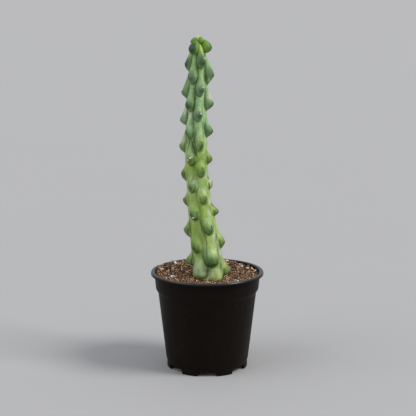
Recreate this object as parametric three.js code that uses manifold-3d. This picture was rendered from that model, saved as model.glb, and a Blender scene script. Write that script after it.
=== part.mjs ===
import * as THREE from "three";
import { mergeVertices } from "three/addons/utils/BufferGeometryUtils.js";
import Module from "manifold-3d";

// A young column cactus with drooping tubercles, in a round nursery pot filled with a bark mix.
// Millimetres, +Z up. The pot's axis is the Z axis and its foot stands on z = 0. The front faces -Y.
// A turn is an angle about Z in degrees: 0 at the front, 90 at +X.

// Pot
const potHeight = 99.2;
const potSides = 44;
const rimRadius = 57.5;
const rimHeight = 3.5;
const rimRound = 1; // how far the rim's edges are cut back
const bandRadius = 53.8; // where the band meets the rim
const bandFootRadius = 52.4;
const bandFootHeight = 81.4;
const bodyRadius = 50.1; // under the chamfer below the band
const bodyHeight = 77.8;
const potWall = 1.3;
const footRadius = 41.3;
const footHeight = 8.2;
const footWall = 2;
const footLedge = 0.8; // the body's step over the foot ring
const gutterHeight = 5.6; // underside of the floor's outer ring, where the water runs off
const gutterRadius = 27;
const padHeight = 3.2; // underside of the floor's middle
const floorThickness = 1.4;
const notchCount = 7;
const notchWidth = 18;
const notchHeight = 4.9;
const drainRadius = 3.2;
const drainCircle = 33;

// Potting mix
const gap = 0.3; // between neighbours that touch
const mixLevel = 94.4; // its surface in the middle of the pot
const mixHeap = 1.6; // rise towards the pot's wall
const mixTiltBack = 1.5; // rise towards the back, fall towards the front
const mixTiltLeft = 1; // rise towards the left, fall towards the right
const mixRings = 17;
const crumbSize = 4.2;
const crumbRelief = 1.1;
const fineCrumbs = { scale: 2.3, share: 0.6 }; // a second layer of crumbs, finer and lower
const chipCount = 38;
const chipReach = 46.5; // the chips lie within this distance of the pot's axis
const chipTilt = 0.45; // radians, at most

// Cactus
const ribCount = 6;
const stemSides = 36;
const stemTurn = 4; // turn of the first column of the stem's grid, so that columns run along the ribs
const rootEnd = 58;
const buriedTop = 89; // the stem is plain and round, and its rows are coarse, below this height
const ribsFull = 105; // the ribs stand out fully above this height
const stemRows = 74; // above buriedTop
const stemTop = 331.5;
const crownTaper = 5; // the ribs fade out where the stem's radius is less than this
const ribRelief = 1.3;
const tubercleDroop = 0.16; // how far a point of a tubercle sinks, as a share of how far it stands out
// Tubercles hang as long teardrops where they are young and are short knobs where they are old. upper
// is the length of the flank above the tip, lower that of the undercut below it, width half the width
// across the tip, narrowing how much of that is lost up the flank, and round 0 for a straight flank.
const youngTubercle = { upper: 18.5, lower: 7.4, width: 5.6, narrowing: 0.62, round: 0 };
const oldTubercle = { upper: 8.5, lower: 6.6, width: 4.7, narrowing: 0.38, round: 0.8 };
const youngFrom = 245; // tubercles are young above this height, and old below oldFrom
const oldFrom = 200;
const baseFlank = 5; // added to the flank of the lowest ones, which sit on swollen ribs
const slimFrom = 175; // no rib is swollen above this height, and all are below swollenFrom
const swollenFrom = 140;
const undercut = 1.3; // power of a tubercle's fall under its tip
const fullness = 0.65; // power of its section: 0.5 is a half ellipse, 1 a parabola
const areoleLift = 1.6; // of its middle above the tubercle's tip
const areoleRadius = 0.95;
const areoleHeight = 0.5; // of its felt pad, above the skin
const spineLength = 2.2;
const spineRadius = 0.34;

// The stem's axis and radius, from the buried end to the crown.
const stemLine = [
  { z: 58, x: 0.4, y: 0, radius: 11.0 },
  { z: 76, x: 0.6, y: 0, radius: 13.6 },
  { z: 94, x: 1.2, y: 0, radius: 14.8 },
  { z: 108, x: 0.8, y: 0.4, radius: 15.0 },
  { z: 122, x: -1.0, y: 0.9, radius: 14.7 },
  { z: 135, x: -2.8, y: 1.4, radius: 14.0 },
  { z: 155, x: -5.8, y: 2.0, radius: 12.6 },
  { z: 177, x: -8.5, y: 2.4, radius: 11.0 },
  { z: 200, x: -10.4, y: 2.6, radius: 10.4 },
  { z: 220, x: -11.2, y: 2.6, radius: 10.3 },
  { z: 245, x: -11.2, y: 2.3, radius: 9.8 },
  { z: 265, x: -10.8, y: 1.9, radius: 9.4 },
  { z: 287, x: -9.6, y: 1.4, radius: 9.1 },
  { z: 305, x: -8.8, y: 1.0, radius: 7.8 },
  { z: 318, x: -8.6, y: 0.7, radius: 6.2 },
  { z: 327, x: -8.8, y: 0.5, radius: 4.6 },
  { z: 331.5, x: -9.0, y: 0.4, radius: 0 },
];

// Each rib's tubercles from the crown down: the height of the tip, how far it stands out of the stem,
// and how far it sits beside the rib's own turn. Neighbouring ribs carry theirs at alternate heights.
const ribs = [
  {
    turn: -96,
    tips: [308, 280.5, 254, 227, 199.5, 172, 141.5, 111],
    reach: [5.4, 6.1, 6.4, 6.0, 4.9, 4.6, 5.4, 6.6],
    sway: [0, 2, 0, 1, 2, 0, 0, -2],
  },
  {
    turn: -37,
    tips: [296, 269, 242, 215, 188, 160, 127, 101.5],
    reach: [6.6, 6.6, 6.0, 5.6, 5.2, 5.4, 5.8, 6.2],
    sway: [-5, -4, 0, 10, 3, 1, -1, 12],
  },
  {
    turn: 23,
    tips: [311, 284, 257.5, 230, 203.5, 175.5, 145.5, 112],
    reach: [6.4, 6.2, 6.2, 6.0, 5.8, 5.4, 5.8, 6.8],
    sway: [0, -4, -4, -2, 0, 3, 7, 6],
  },
  {
    turn: 84,
    tips: [298.5, 269.5, 243, 215.5, 189.5, 162, 130.5, 102.5],
    reach: [7.8, 7.6, 7.2, 5.3, 4.0, 6.0, 6.4, 7.0],
    sway: [0, 2, 0, 0, 0, -2, 0, 2],
  },
  {
    turn: 145,
    tips: [309, 282, 255, 229, 202, 174.5, 145, 114],
    reach: [6.0, 6.4, 6.6, 6.2, 5.6, 5.2, 5.8, 6.4],
    sway: [2, -2, 1, 0, -3, 0, 2, 0],
  },
  {
    turn: 204,
    tips: [297, 270, 242, 216, 189, 160.5, 129, 102.5],
    reach: [7.0, 7.2, 6.6, 5.6, 5.2, 5.6, 6.2, 6.6],
    sway: [2, -2, 1, 0, 3, -2, 0, -3],
  },
];

// The youngest buds: two rings of three round the growing tip. Each is an upright ellipsoid, with its
// middle out from the tip's axis, half its width and half its height.
const crownBuds = [
  { turn: 46, out: 4.2, z: 330.2, width: 2.8, height: 3.9 },
  { turn: -92, out: 4.4, z: 330.2, width: 3.0, height: 3.7 },
  { turn: 150, out: 4.5, z: 329.8, width: 2.9, height: 3.8 },
  { turn: 84, out: 8.4, z: 324.9, width: 4.8, height: 6.2 },
  { turn: -37, out: 8.0, z: 323.3, width: 4.6, height: 7.2 },
  { turn: 204, out: 8.0, z: 323.6, width: 4.7, height: 6.8 },
  { turn: 0, out: 0, z: 331.6, width: 1.5, height: 3.0 },
];

const finishes = {
  pot: { color: 0x151413, roughness: 0.42, metalness: 0 },
  mix: { color: 0x4a3527, roughness: 0.95, metalness: 0 },
  cactus: { color: 0x6f9a5c, roughness: 0.55, metalness: 0 },
  pumice: { color: 0xe6ddcb, roughness: 0.9, metalness: 0 },
};

const wasm = await Module();
wasm.setup();

// Random numbers from 0 to 1, the same ones each time for a given seed.
function randomFrom(seed) {
  let state = seed;
  return () => {
    state = (state + 0x6d2b79f5) | 0;
    let mixed = Math.imul(state ^ (state >>> 15), 1 | state);
    mixed = (mixed + Math.imul(mixed ^ (mixed >>> 7), 61 | mixed)) ^ mixed;
    return ((mixed ^ (mixed >>> 14)) >>> 0) / 4294967296;
  };
}

// A value from -1 to 1 for a whole-numbered place in the plane.
function latticeValue(column, row) {
  return 2 * randomFrom(column * 7349 + row * 9151 + 17)() - 1;
}

// Smooth noise over the plane, from -1 to 1, with bumps about one unit wide.
function noise(x, y) {
  const column = Math.floor(x);
  const row = Math.floor(y);
  const across = THREE.MathUtils.smoothstep(x - column, 0, 1);
  const along = THREE.MathUtils.smoothstep(y - row, 0, 1);
  const near = THREE.MathUtils.lerp(latticeValue(column, row), latticeValue(column + 1, row), across);
  const far = THREE.MathUtils.lerp(latticeValue(column, row + 1), latticeValue(column + 1, row + 1), across);
  return THREE.MathUtils.lerp(near, far, along);
}

// A horizontal unit vector at a turn.
function outward(turn) {
  const angle = THREE.MathUtils.degToRad(turn);
  return new THREE.Vector3(Math.sin(angle), -Math.cos(angle), 0);
}

// A closed geometry as a solid.
function solidOf(geometry) {
  const bare = geometry.clone();
  bare.deleteAttribute("normal");
  bare.deleteAttribute("uv");
  const merged = mergeVertices(bare, 1e-4);
  return new wasm.Manifold(
    new wasm.Mesh({
      numProp: 3,
      vertProperties: merged.attributes.position.array,
      triVerts: new Uint32Array(merged.index.array),
    }),
  );
}

// A solid's surface as a geometry.
function geometryOf(solid) {
  const surface = solid.getMesh();
  return new THREE.BufferGeometry()
    .setAttribute("position", new THREE.BufferAttribute(surface.vertProperties, 3))
    .setIndex(new THREE.BufferAttribute(surface.triVerts, 1));
}

// The largest body of a solid, without the loose scraps that a cut leaves and with sealed hollows filled.
function largestBody(solid) {
  return solid.decompose().reduce((best, body) => (body.volume() > best.volume() ? body : best));
}

// A profile of [radius, height] pairs turned about the Z axis, going round from a turn of startTurn.
function lathe(profile, sides, startTurn = 0) {
  const points = profile.map(([radius, height]) => new THREE.Vector2(radius, height));
  const start = THREE.MathUtils.degToRad(startTurn);
  return new THREE.LatheGeometry(points, sides, start, 2 * Math.PI).rotateX(Math.PI / 2);
}

// Moves each vertex of a geometry by a function that changes the vector it is given.
function reshape(geometry, change) {
  const position = geometry.attributes.position;
  const point = new THREE.Vector3();
  for (let i = 0; i < position.count; i++) {
    change(point.fromBufferAttribute(position, i));
    position.setXYZ(i, point.x, point.y, point.z);
  }
  return geometry;
}

function makePot() {
  const rimFoot = potHeight - rimHeight;
  const innerRim = bandRadius - potWall;
  const profile = [
    [0, padHeight],
    [gutterRadius - 2 * floorThickness, padHeight],
    [gutterRadius - floorThickness, gutterHeight],
    [footRadius - footWall, gutterHeight],
    [footRadius - footWall, 0],
    [footRadius, 0],
    [footRadius, footHeight],
    [footRadius + footLedge, footHeight],
    [bodyRadius, bodyHeight],
    [bandFootRadius, bandFootHeight],
    [bandRadius, rimFoot],
    [rimRadius - rimRound, rimFoot],
    [rimRadius, rimFoot + rimRound],
    [rimRadius, potHeight - rimRound],
    [rimRadius - rimRound, potHeight],
    [innerRim + rimRound, potHeight],
    [innerRim, potHeight - rimRound],
    [bandFootRadius - potWall, bandFootHeight],
    [bodyRadius - potWall, bodyHeight],
    [footRadius + footLedge - potWall, footHeight],
    [footRadius - potWall, gutterHeight + floorThickness],
    [gutterRadius, gutterHeight + floorThickness],
    [gutterRadius - floorThickness, padHeight + floorThickness],
    [0, padHeight + floorThickness],
  ];
  let pot = solidOf(lathe(profile, potSides));
  const notchDepth = 3 * footWall;
  for (let i = 0; i < notchCount; i++) {
    const turn = (360 / notchCount) * i;
    const angle = THREE.MathUtils.degToRad(turn);
    const place = outward(turn);
    const notch = new THREE.BoxGeometry(notchWidth, notchDepth, 2 * notchHeight)
      .rotateZ(angle)
      .translate(place.x * footRadius, place.y * footRadius, 0);
    const drain = new THREE.CylinderGeometry(drainRadius, drainRadius, 4 * floorThickness, 8)
      .rotateX(Math.PI / 2)
      .translate(place.x * drainCircle, place.y * drainCircle, gutterHeight + floorThickness);
    pot = pot.subtract(solidOf(notch)).subtract(solidOf(drain));
  }
  return geometryOf(pot);
}

// The stem's axis and radius at a height, between the entries of stemLine.
function stemAt(height) {
  const above = stemLine.findIndex((entry) => entry.z >= height);
  if (above === 0) return stemLine[0];
  if (above < 0) return stemLine[stemLine.length - 1];
  const low = stemLine[above - 1];
  const high = stemLine[above];
  const share = (height - low.z) / (high.z - low.z);
  return {
    x: THREE.MathUtils.lerp(low.x, high.x, share),
    y: THREE.MathUtils.lerp(low.y, high.y, share),
    radius: THREE.MathUtils.lerp(low.radius, high.radius, share),
  };
}

// Every tubercle, with the shape that its age gives it.
function listTubercles() {
  return ribs.flatMap((rib) =>
    rib.tips.map((tip, i) => {
      const age = 1 - THREE.MathUtils.smoothstep(tip, oldFrom, youngFrom);
      const swelling = 1 - THREE.MathUtils.smoothstep(tip, swollenFrom, slimFrom);
      const aged = (size) => THREE.MathUtils.lerp(youngTubercle[size], oldTubercle[size], age);
      return {
        tip,
        turn: rib.turn + rib.sway[i],
        reach: rib.reach[i],
        upper: aged("upper") + baseFlank * swelling,
        lower: aged("lower"),
        width: aged("width"),
        narrowing: aged("narrowing"),
        round: aged("round"),
      };
    }),
  );
}

const tubercles = listTubercles();

// The angle between two turns, from -180 to 180 degrees.
function turnBetween(from, to) {
  return ((((to - from + 180) % 360) + 360) % 360) - 180;
}

// How far one tubercle stands out of the stem at a turn and a height. Its outline is a teardrop:
// narrow above, a half ellipse below the tip. Across, it is a rounded ridge.
function tubercleRise(tubercle, turn, height, stemRadius) {
  const above = height - tubercle.tip;
  const share = above > 0 ? above / tubercle.upper : -above / tubercle.lower;
  if (share >= 1) return 0;
  const arc = THREE.MathUtils.degToRad(turnBetween(tubercle.turn, turn)) * (stemRadius + tubercle.reach / 2);
  const under = Math.sqrt(1 - share * share);
  const halfWidth = tubercle.width * (above > 0 ? 1 - tubercle.narrowing * share : under);
  const across = Math.abs(arc) / halfWidth;
  if (across >= 1) return 0;
  const flank = THREE.MathUtils.lerp(1 - share, Math.cos((Math.PI / 2) * share), tubercle.round);
  const along = above > 0 ? flank : Math.pow(under, undercut);
  return tubercle.reach * along * Math.pow(1 - across * across, fullness);
}

// How far the surface stands out of the plain stem: a low ridge on each rib, and the tubercles.
function surfaceRise(turn, height, stemRadius) {
  if (height < buriedTop) return 0;
  const nearest = Math.min(...ribs.map((rib) => Math.abs(turnBetween(rib.turn, turn))));
  const ridge = Math.cos((Math.PI * nearest) / (360 / ribCount));
  const rib = ribRelief * (ridge * ridge - 0.5) * THREE.MathUtils.smoothstep(height, buriedTop, ribsFull);
  const knob = Math.max(...tubercles.map((one) => tubercleRise(one, turn, height, stemRadius)));
  return rib + knob;
}

// The point of the cactus at a turn and a height, set out of its surface by a margin.
function stemPoint(turn, height, margin = 0) {
  const axis = stemAt(height);
  const taper = Math.min(1, axis.radius / crownTaper);
  const rise = surfaceRise(turn, height, axis.radius) * taper;
  const point = outward(turn).multiplyScalar(axis.radius + rise + margin);
  return point.add(new THREE.Vector3(axis.x, axis.y, height - tubercleDroop * Math.max(0, rise)));
}

// The cactus from its buried end up to a height, as a lathe whose vertices are moved to its surface.
function stemSolid(rowHeights, margin) {
  const profile = [
    [0, rowHeights[0]],
    ...rowHeights.map((height) => [1, height]),
    [0, rowHeights[rowHeights.length - 1]],
  ];
  const shape = lathe(profile, stemSides, stemTurn);
  reshape(shape, (point) => {
    const axis = stemAt(point.z);
    const onAxis = Math.hypot(point.x, point.y) < 0.5;
    const turn = THREE.MathUtils.radToDeg(Math.atan2(point.x, -point.y));
    if (onAxis) point.set(axis.x, axis.y, point.z);
    else point.copy(stemPoint(turn, point.z, margin));
  });
  return solidOf(shape);
}

// Heights of the stem's rows: two for the buried part, then even ones up to a height.
function stemHeights(top) {
  const step = (stemTop - buriedTop) / stemRows;
  const heights = [rootEnd, (rootEnd + buriedTop) / 2];
  for (let height = buriedTop; height < top; height += step) heights.push(height);
  return heights;
}

// An ellipsoid that stands upright.
function bud(place, width, height) {
  const shape = new THREE.SphereGeometry(1, 12, 8).rotateX(Math.PI / 2);
  return solidOf(shape.scale(width, width, height).translate(...place));
}

// A shape made along +Y, turned to point along a direction and moved to a place.
function pointing(geometry, direction, place) {
  const turn = new THREE.Quaternion().setFromUnitVectors(new THREE.Vector3(0, 1, 0), direction);
  return solidOf(geometry.applyQuaternion(turn).translate(...place));
}

// The felt pad and short spines of one areole, on the upper side of a tubercle's tip.
function areole(tubercle, random) {
  const side = new THREE.Vector3(-outward(tubercle.turn).y, outward(tubercle.turn).x, 0);
  const out = outward(tubercle.turn).add(new THREE.Vector3(0, 0, 0.45)).normalize();
  const place = stemPoint(tubercle.turn, tubercle.tip + areoleLift);
  const pad = new THREE.CylinderGeometry(0.6 * areoleRadius, areoleRadius, 2 * areoleHeight, 4);
  let solid = pointing(pad, out, place);
  for (const lean of [-0.75, 0.75]) {
    const length = spineLength * (0.8 + 0.4 * random()) + areoleHeight;
    const direction = out.clone().addScaledVector(side, lean + 0.5 * (random() - 0.5)).normalize();
    const spine = new THREE.ConeGeometry(spineRadius, length, 3).translate(0, length / 2, 0);
    solid = solid.add(pointing(spine, direction, place));
  }
  return solid;
}

function makeCactus() {
  const random = randomFrom(5);
  const tip = stemAt(stemTop);
  let cactus = stemSolid(stemHeights(stemTop), 0);
  for (const one of crownBuds) {
    const place = outward(one.turn).multiplyScalar(one.out);
    cactus = cactus.add(bud([tip.x + place.x, tip.y + place.y, one.z], one.width, one.height));
  }
  for (const tubercle of tubercles) {
    cactus = cactus.add(areole(tubercle, random));
  }
  return geometryOf(largestBody(cactus));
}

// The mix's surface: a shallow bowl that rises to the pot's wall, higher at the back and the left.
function mixSurface(x, y) {
  const reach = Math.hypot(x, y) / bandRadius;
  return mixLevel + mixHeap * reach * reach + (mixTiltBack * y - mixTiltLeft * x) / bandRadius;
}

// The same surface with its crumbs.
function crumbledSurface(x, y) {
  const across = x / crumbSize;
  const along = y / crumbSize;
  const fine = fineCrumbs.share * noise(fineCrumbs.scale * across, fineCrumbs.scale * along);
  return mixSurface(x, y) + crumbRelief * (noise(across, along) + fine);
}

// Bark chips: small boxes of uneven size that lie at all angles, half sunk in the mix.
function barkChips() {
  const random = randomFrom(11);
  const chips = [];
  for (let i = 0; i < chipCount; i++) {
    const size = [2.5 + 3.5 * random(), 1.2 + 1.6 * random(), 1 + random()];
    const far = chipReach * Math.sqrt(random());
    const place = outward(360 * random()).multiplyScalar(far);
    const chip = new THREE.BoxGeometry(...size)
      .rotateX(chipTilt * (2 * random() - 1))
      .rotateY(chipTilt * (2 * random() - 1))
      .rotateZ(2 * Math.PI * random())
      .translate(place.x, place.y, crumbledSurface(place.x, place.y) + size[2] / 6);
    chips.push(solidOf(chip));
  }
  return chips;
}

// Pumice stones, as places on the mix: a few large ones at the left, and smaller ones all round.
const stones = [
  { x: -45.6, y: 18.2, radius: 2.3 },
  { x: -47.4, y: 7.8, radius: 1.5 },
  { x: -35.6, y: 13.4, radius: 1.5 },
  { x: -33.4, y: 32.2, radius: 1.6 },
  { x: -35.4, y: -15.8, radius: 1.6 },
  { x: -19.8, y: 34.8, radius: 1.4 },
  { x: -19.9, y: 7.8, radius: 1.3 },
  { x: 21.4, y: 44.6, radius: 1.5 },
  { x: 36.4, y: 27.4, radius: 1.5 },
  { x: 42.2, y: 19.2, radius: 1.4 },
  { x: 30.4, y: -26.5, radius: 1.4 },
  { x: 6.5, y: 41.5, radius: 1.6 },
];

// A stone, or the hollow it lies in when a margin is added: a lumpy ball with flat faces.
function stone(place, margin) {
  const size = place.radius + margin;
  const random = randomFrom(Math.round(100 * (place.x + 60) + place.y));
  const stretch = [1.15 + 0.2 * random(), 0.85 + 0.2 * random(), 0.8];
  return new THREE.IcosahedronGeometry(1, 0)
    .rotateX(random() * Math.PI)
    .rotateY(random() * Math.PI)
    .scale(stretch[0] * size, stretch[1] * size, stretch[2] * size)
    .translate(place.x, place.y, mixSurface(place.x, place.y) + 0.5 * place.radius);
}

function makeMix() {
  const wall = potWall + gap;
  const topRadius = bandRadius - wall - gap;
  const profile = [
    [0, padHeight + floorThickness + gap],
    [gutterRadius - floorThickness - gap, padHeight + floorThickness + gap],
    [gutterRadius - gap, gutterHeight + floorThickness + gap],
    [footRadius - wall - gap, gutterHeight + floorThickness + gap],
    [footRadius + footLedge - wall - gap, footHeight + gap],
    [bodyRadius - wall, bodyHeight],
    [bandFootRadius - wall, bandFootHeight],
  ];
  for (let ring = 0; ring <= mixRings; ring++) profile.push([topRadius * (1 - ring / mixRings), mixLevel]);
  const bed = reshape(lathe(profile, potSides), (point) => {
    if (point.z > (bandFootHeight + mixLevel) / 2) point.z = crumbledSurface(point.x, point.y);
  });
  let mix = solidOf(bed);
  for (const chip of barkChips()) mix = mix.add(chip);
  mix = mix.subtract(stemSolid(stemHeights(mixLevel + chipReach / 2), gap));
  for (const place of stones) mix = mix.subtract(solidOf(stone(place, gap)));
  return geometryOf(largestBody(mix));
}

const cactusInPot = new THREE.Group();
cactusInPot.name = "potted_cactus";

function addPiece(name, geometry, finish) {
  const piece = new THREE.Mesh(geometry, new THREE.MeshStandardMaterial(finish));
  piece.name = name;
  cactusInPot.add(piece);
}

addPiece("pot", makePot(), finishes.pot);
addPiece("potting_mix", makeMix(), finishes.mix);
addPiece("cactus", makeCactus(), finishes.cactus);
stones.forEach((place, i) => addPiece(`pumice_${i + 1}`, stone(place, 0), finishes.pumice));

export default cactusInPot;
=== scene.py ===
import bpy
import numpy as np
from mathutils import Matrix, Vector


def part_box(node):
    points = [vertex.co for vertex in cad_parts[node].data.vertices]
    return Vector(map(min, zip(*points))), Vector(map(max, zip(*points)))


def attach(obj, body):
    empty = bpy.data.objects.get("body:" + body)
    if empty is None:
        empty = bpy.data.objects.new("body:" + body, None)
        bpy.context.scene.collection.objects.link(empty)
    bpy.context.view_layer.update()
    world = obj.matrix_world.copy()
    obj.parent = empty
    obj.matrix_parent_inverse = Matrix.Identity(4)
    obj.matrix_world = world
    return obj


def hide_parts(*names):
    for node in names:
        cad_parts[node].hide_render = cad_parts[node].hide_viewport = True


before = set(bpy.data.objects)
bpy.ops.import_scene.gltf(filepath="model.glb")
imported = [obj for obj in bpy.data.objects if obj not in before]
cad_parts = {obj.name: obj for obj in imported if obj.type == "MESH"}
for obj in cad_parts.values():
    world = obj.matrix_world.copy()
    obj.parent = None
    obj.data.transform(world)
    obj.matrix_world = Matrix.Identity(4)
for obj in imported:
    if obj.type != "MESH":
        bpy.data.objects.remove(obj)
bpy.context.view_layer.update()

mm = 0.001
scene = bpy.context.scene
print("frame loaded:", len(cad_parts), "nodes")


# Small sums

def lerp(a, b, share):
    # a + (b - a) share
    return a + (b - a) * share


def smoothStep(value, low, high):
    # s s (3 - 2 s), where s rises from 0 at low to 1 at high
    share = np.clip((value - low) / (high - low), 0, 1)
    return share * share * (3 - 2 * share)


def between(value, low, high, fade):
    # A smooth step up from low times one down to high, each as wide as fade
    return smoothStep(value, low, low + fade) * (1 - smoothStep(value, high - fade, high))


def bell(value, width):
    # e to the power -(value / width)^2
    return np.exp(-(value / width) ** 2)


def outward(turn):
    # A level unit vector at a turn: (sin, -cos, 0)
    angle = np.radians(turn)
    return np.stack([np.sin(angle), -np.cos(angle), np.zeros_like(angle)], axis=-1)


def turnsRound(columns):
    # Even turns, that many in a circle
    return np.linspace(0, 360, columns, endpoint=False)


def turnBetween(start, end):
    # The shorter way from one turn to the other, -180 to 180
    return (end - start + 180) % 360 - 180


def arcBetween(start, end, radius):
    # The length round a circle of that radius from one turn to the other
    return np.radians(turnBetween(start, end)) * radius


def unit(vectors):
    # Vectors over their lengths
    return vectors / np.linalg.norm(vectors, axis=-1, keepdims=True)


largestKey = 0xFFFFFFFF  # of 32 bits


def hashed(key):
    # Whole numbers scrambled to 32 bits: twice, a number crossed with its own upper half is multiplied
    key = key & largestKey
    for _ in range(2):
        key = ((key ^ (key >> 16)) * 0x45D9F3B) & largestKey
    return key ^ (key >> 16)


def softNoise(points, size, seed=0):
    # Random values on a cubic lattice of that size, blended between its corners by smooth steps: -1 to 1
    primes, seedPrime = np.array([73856093, 19349663, 83492791]), 2654435761
    place = np.asarray(points, float) / size
    cell = np.floor(place).astype(np.int64)
    share = smoothStep(place - cell, 0, 1)
    total = 0
    for corner in np.ndindex(2, 2, 2):
        weight = np.where(np.array(corner) == 1, share, 1 - share).prod(axis=-1)
        key = (cell + corner) @ primes + seed * seedPrime
        total = total + weight * (hashed(key) / (largestKey // 2) - 1)
    return total


def nearOne(draw, shape, by):
    # Even random numbers from 1 - by to 1 + by
    return 1 - by + 2 * by * draw.random(shape)


def lumpy(points, high, wide, seed):
    # Points pushed away from the middle or towards it: p (1 + high noise(p))
    return points * (1 + high * softNoise(points, wide, seed))[..., None]


# Meshes

def closedTube(points):
    # Rows x columns of points become quads between neighbours, the last column joined to the first, and a fan
    # round the middle of the first and the last row. Rows run upwards and columns anticlockwise from above.
    rows, columns = points.shape[:2]
    row, column = np.meshgrid(np.arange(rows - 1), np.arange(columns), indexing="ij")
    beside = (column + 1) % columns
    quads = np.stack([row * columns + column, row * columns + beside,
                      (row + 1) * columns + beside, (row + 1) * columns + column], axis=-1).reshape(-1, 4)
    ring = np.arange(columns)
    ringBeside = (ring + 1) % columns
    top = (rows - 1) * columns
    foot = np.full(columns, rows * columns)
    fans = np.concatenate([np.stack([ringBeside, ring, foot], axis=-1),
                           np.stack([top + ring, top + ringBeside, foot + 1], axis=-1)])
    vertices = np.concatenate([points.reshape(-1, 3), points[0].mean(axis=0)[None], points[-1].mean(axis=0)[None]])
    return vertices, quads, fans


def withEnds(values):
    # A mask on the same grid, with the two middle points of closedTube added
    return np.concatenate([values.reshape(-1), [values[0].mean()], [values[-1].mean()]])


def joined(parts):
    # Several (vertices, quads, fans) as one
    shift = np.cumsum([0] + [len(part[0]) for part in parts[:-1]])
    return (np.concatenate([part[0] for part in parts]),
            np.concatenate([part[1] + first for part, first in zip(parts, shift)]),
            np.concatenate([part[2] + first for part, first in zip(parts, shift)]))


def repeated(points, quads, fans):
    # The same faces for each row of points, as one shape
    shift = (np.arange(len(points)) * points.shape[1])[:, None, None]
    return points.reshape(-1, 3), (quads + shift).reshape(-1, 4), (fans + shift).reshape(-1, 3)


def copies(shape, places, turns, sizes):
    # A shape repeated: each copy's points are scaled, turned by its own 3 x 3 matrix and moved
    vertices, quads, fans = shape
    points = np.einsum("nij,nvj->nvi", turns, vertices[None] * sizes[:, None]) + places[:, None]
    return repeated(points, quads, fans)


def turnsAbout(axis, angles):
    # A 3 x 3 matrix for each angle: its cosine and sine in the plane of the two other axes
    first, second = (axis + 1) % 3, (axis + 2) % 3
    turns = np.zeros((len(angles), 3, 3))
    turns[:, axis, axis] = 1
    turns[:, first, first] = turns[:, second, second] = np.cos(angles)
    turns[:, second, first] = np.sin(angles)
    turns[:, first, second] = -np.sin(angles)
    return turns


def randomTurns(draw, count, tilt=np.pi):
    # Any angle about Z, then a lean of up to tilt radians about X and about Y
    spin = 2 * np.pi * draw.random(count)
    leanX, leanY = tilt * (2 * draw.random((2, count)) - 1)
    return turnsAbout(1, leanY) @ turnsAbout(0, leanX) @ turnsAbout(2, spin)


def unitBall(rows, columns, pole):
    # (sin p outward(turn), cos p) for polar angles p from the foot up, which stop short of the poles
    polar = np.linspace(np.pi - pole, pole, rows)[:, None]
    points = outward(turnsRound(columns)) * np.sin(polar)[..., None]
    points[..., 2] = np.cos(polar)
    return points


def newMesh(name, shape):
    # A mesh of a shape: vertices in millimetres, quads and fans
    vertices, quads, fans = shape
    mesh = bpy.data.meshes.new(name)
    mesh.from_pydata((vertices * mm).tolist(), [], quads.tolist() + fans.tolist())
    return mesh


def newObject(name, data):
    # An object of that data, in the scene and at its origin
    made = bpy.data.objects.new(name, data)
    scene.collection.objects.link(made)
    return made


def addPiece(name, shape, material, replaced=(), masks=None, tints=None, sharpAngle=None):
    # A smooth piece on the body "root", with its masks and the tint of each copy as attributes of its points
    mesh = newMesh(name, shape)
    mesh.polygons.foreach_set("use_smooth", np.ones(len(mesh.polygons), dtype=bool))
    if sharpAngle is not None:
        mesh.set_sharp_from_angle(angle=np.radians(sharpAngle))
    for maskName, values in (masks or {}).items():
        mesh.attributes.new(maskName, "FLOAT", "POINT").data.foreach_set("value", values.astype(np.float32))
    if tints is not None:
        tints = np.repeat(tints, len(shape[0]) // len(tints), axis=0)
        colours = np.concatenate([tints, np.ones((len(tints), 1))], axis=1).astype(np.float32)
        mesh.attributes.new("tint", "FLOAT_COLOR", "POINT").data.foreach_set("color", colours.ravel())
    mesh.materials.append(material)
    piece = newObject(name, mesh)
    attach(piece, "root")
    if replaced:
        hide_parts(*replaced)
    print(f"{name}: {2 * len(shape[1]) + len(shape[2])} triangles")
    return piece


def cutAway(piece, shape):
    # The piece's mesh less a closed shape
    cutter = newObject("cutter", newMesh("cutter", shape))
    cut = piece.modifiers.new("cut", "BOOLEAN")
    cut.operation = "DIFFERENCE"
    cut.solver = "EXACT"
    cut.object = cutter
    bpy.context.view_layer.update()
    mesh = bpy.data.meshes.new_from_object(piece.evaluated_get(bpy.context.evaluated_depsgraph_get()))
    piece.modifiers.clear()
    piece.data = mesh
    bpy.data.objects.remove(cutter)


# Materials

def linear(code):
    # A colour code such as "6f9a5c" as linear red, green and blue
    value = np.array([int(code[k:k + 2], 16) for k in (0, 2, 4)]) / 255
    return np.where(value <= 0.04045, value / 12.92, ((value + 0.055) / 1.055) ** 2.4)


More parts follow.
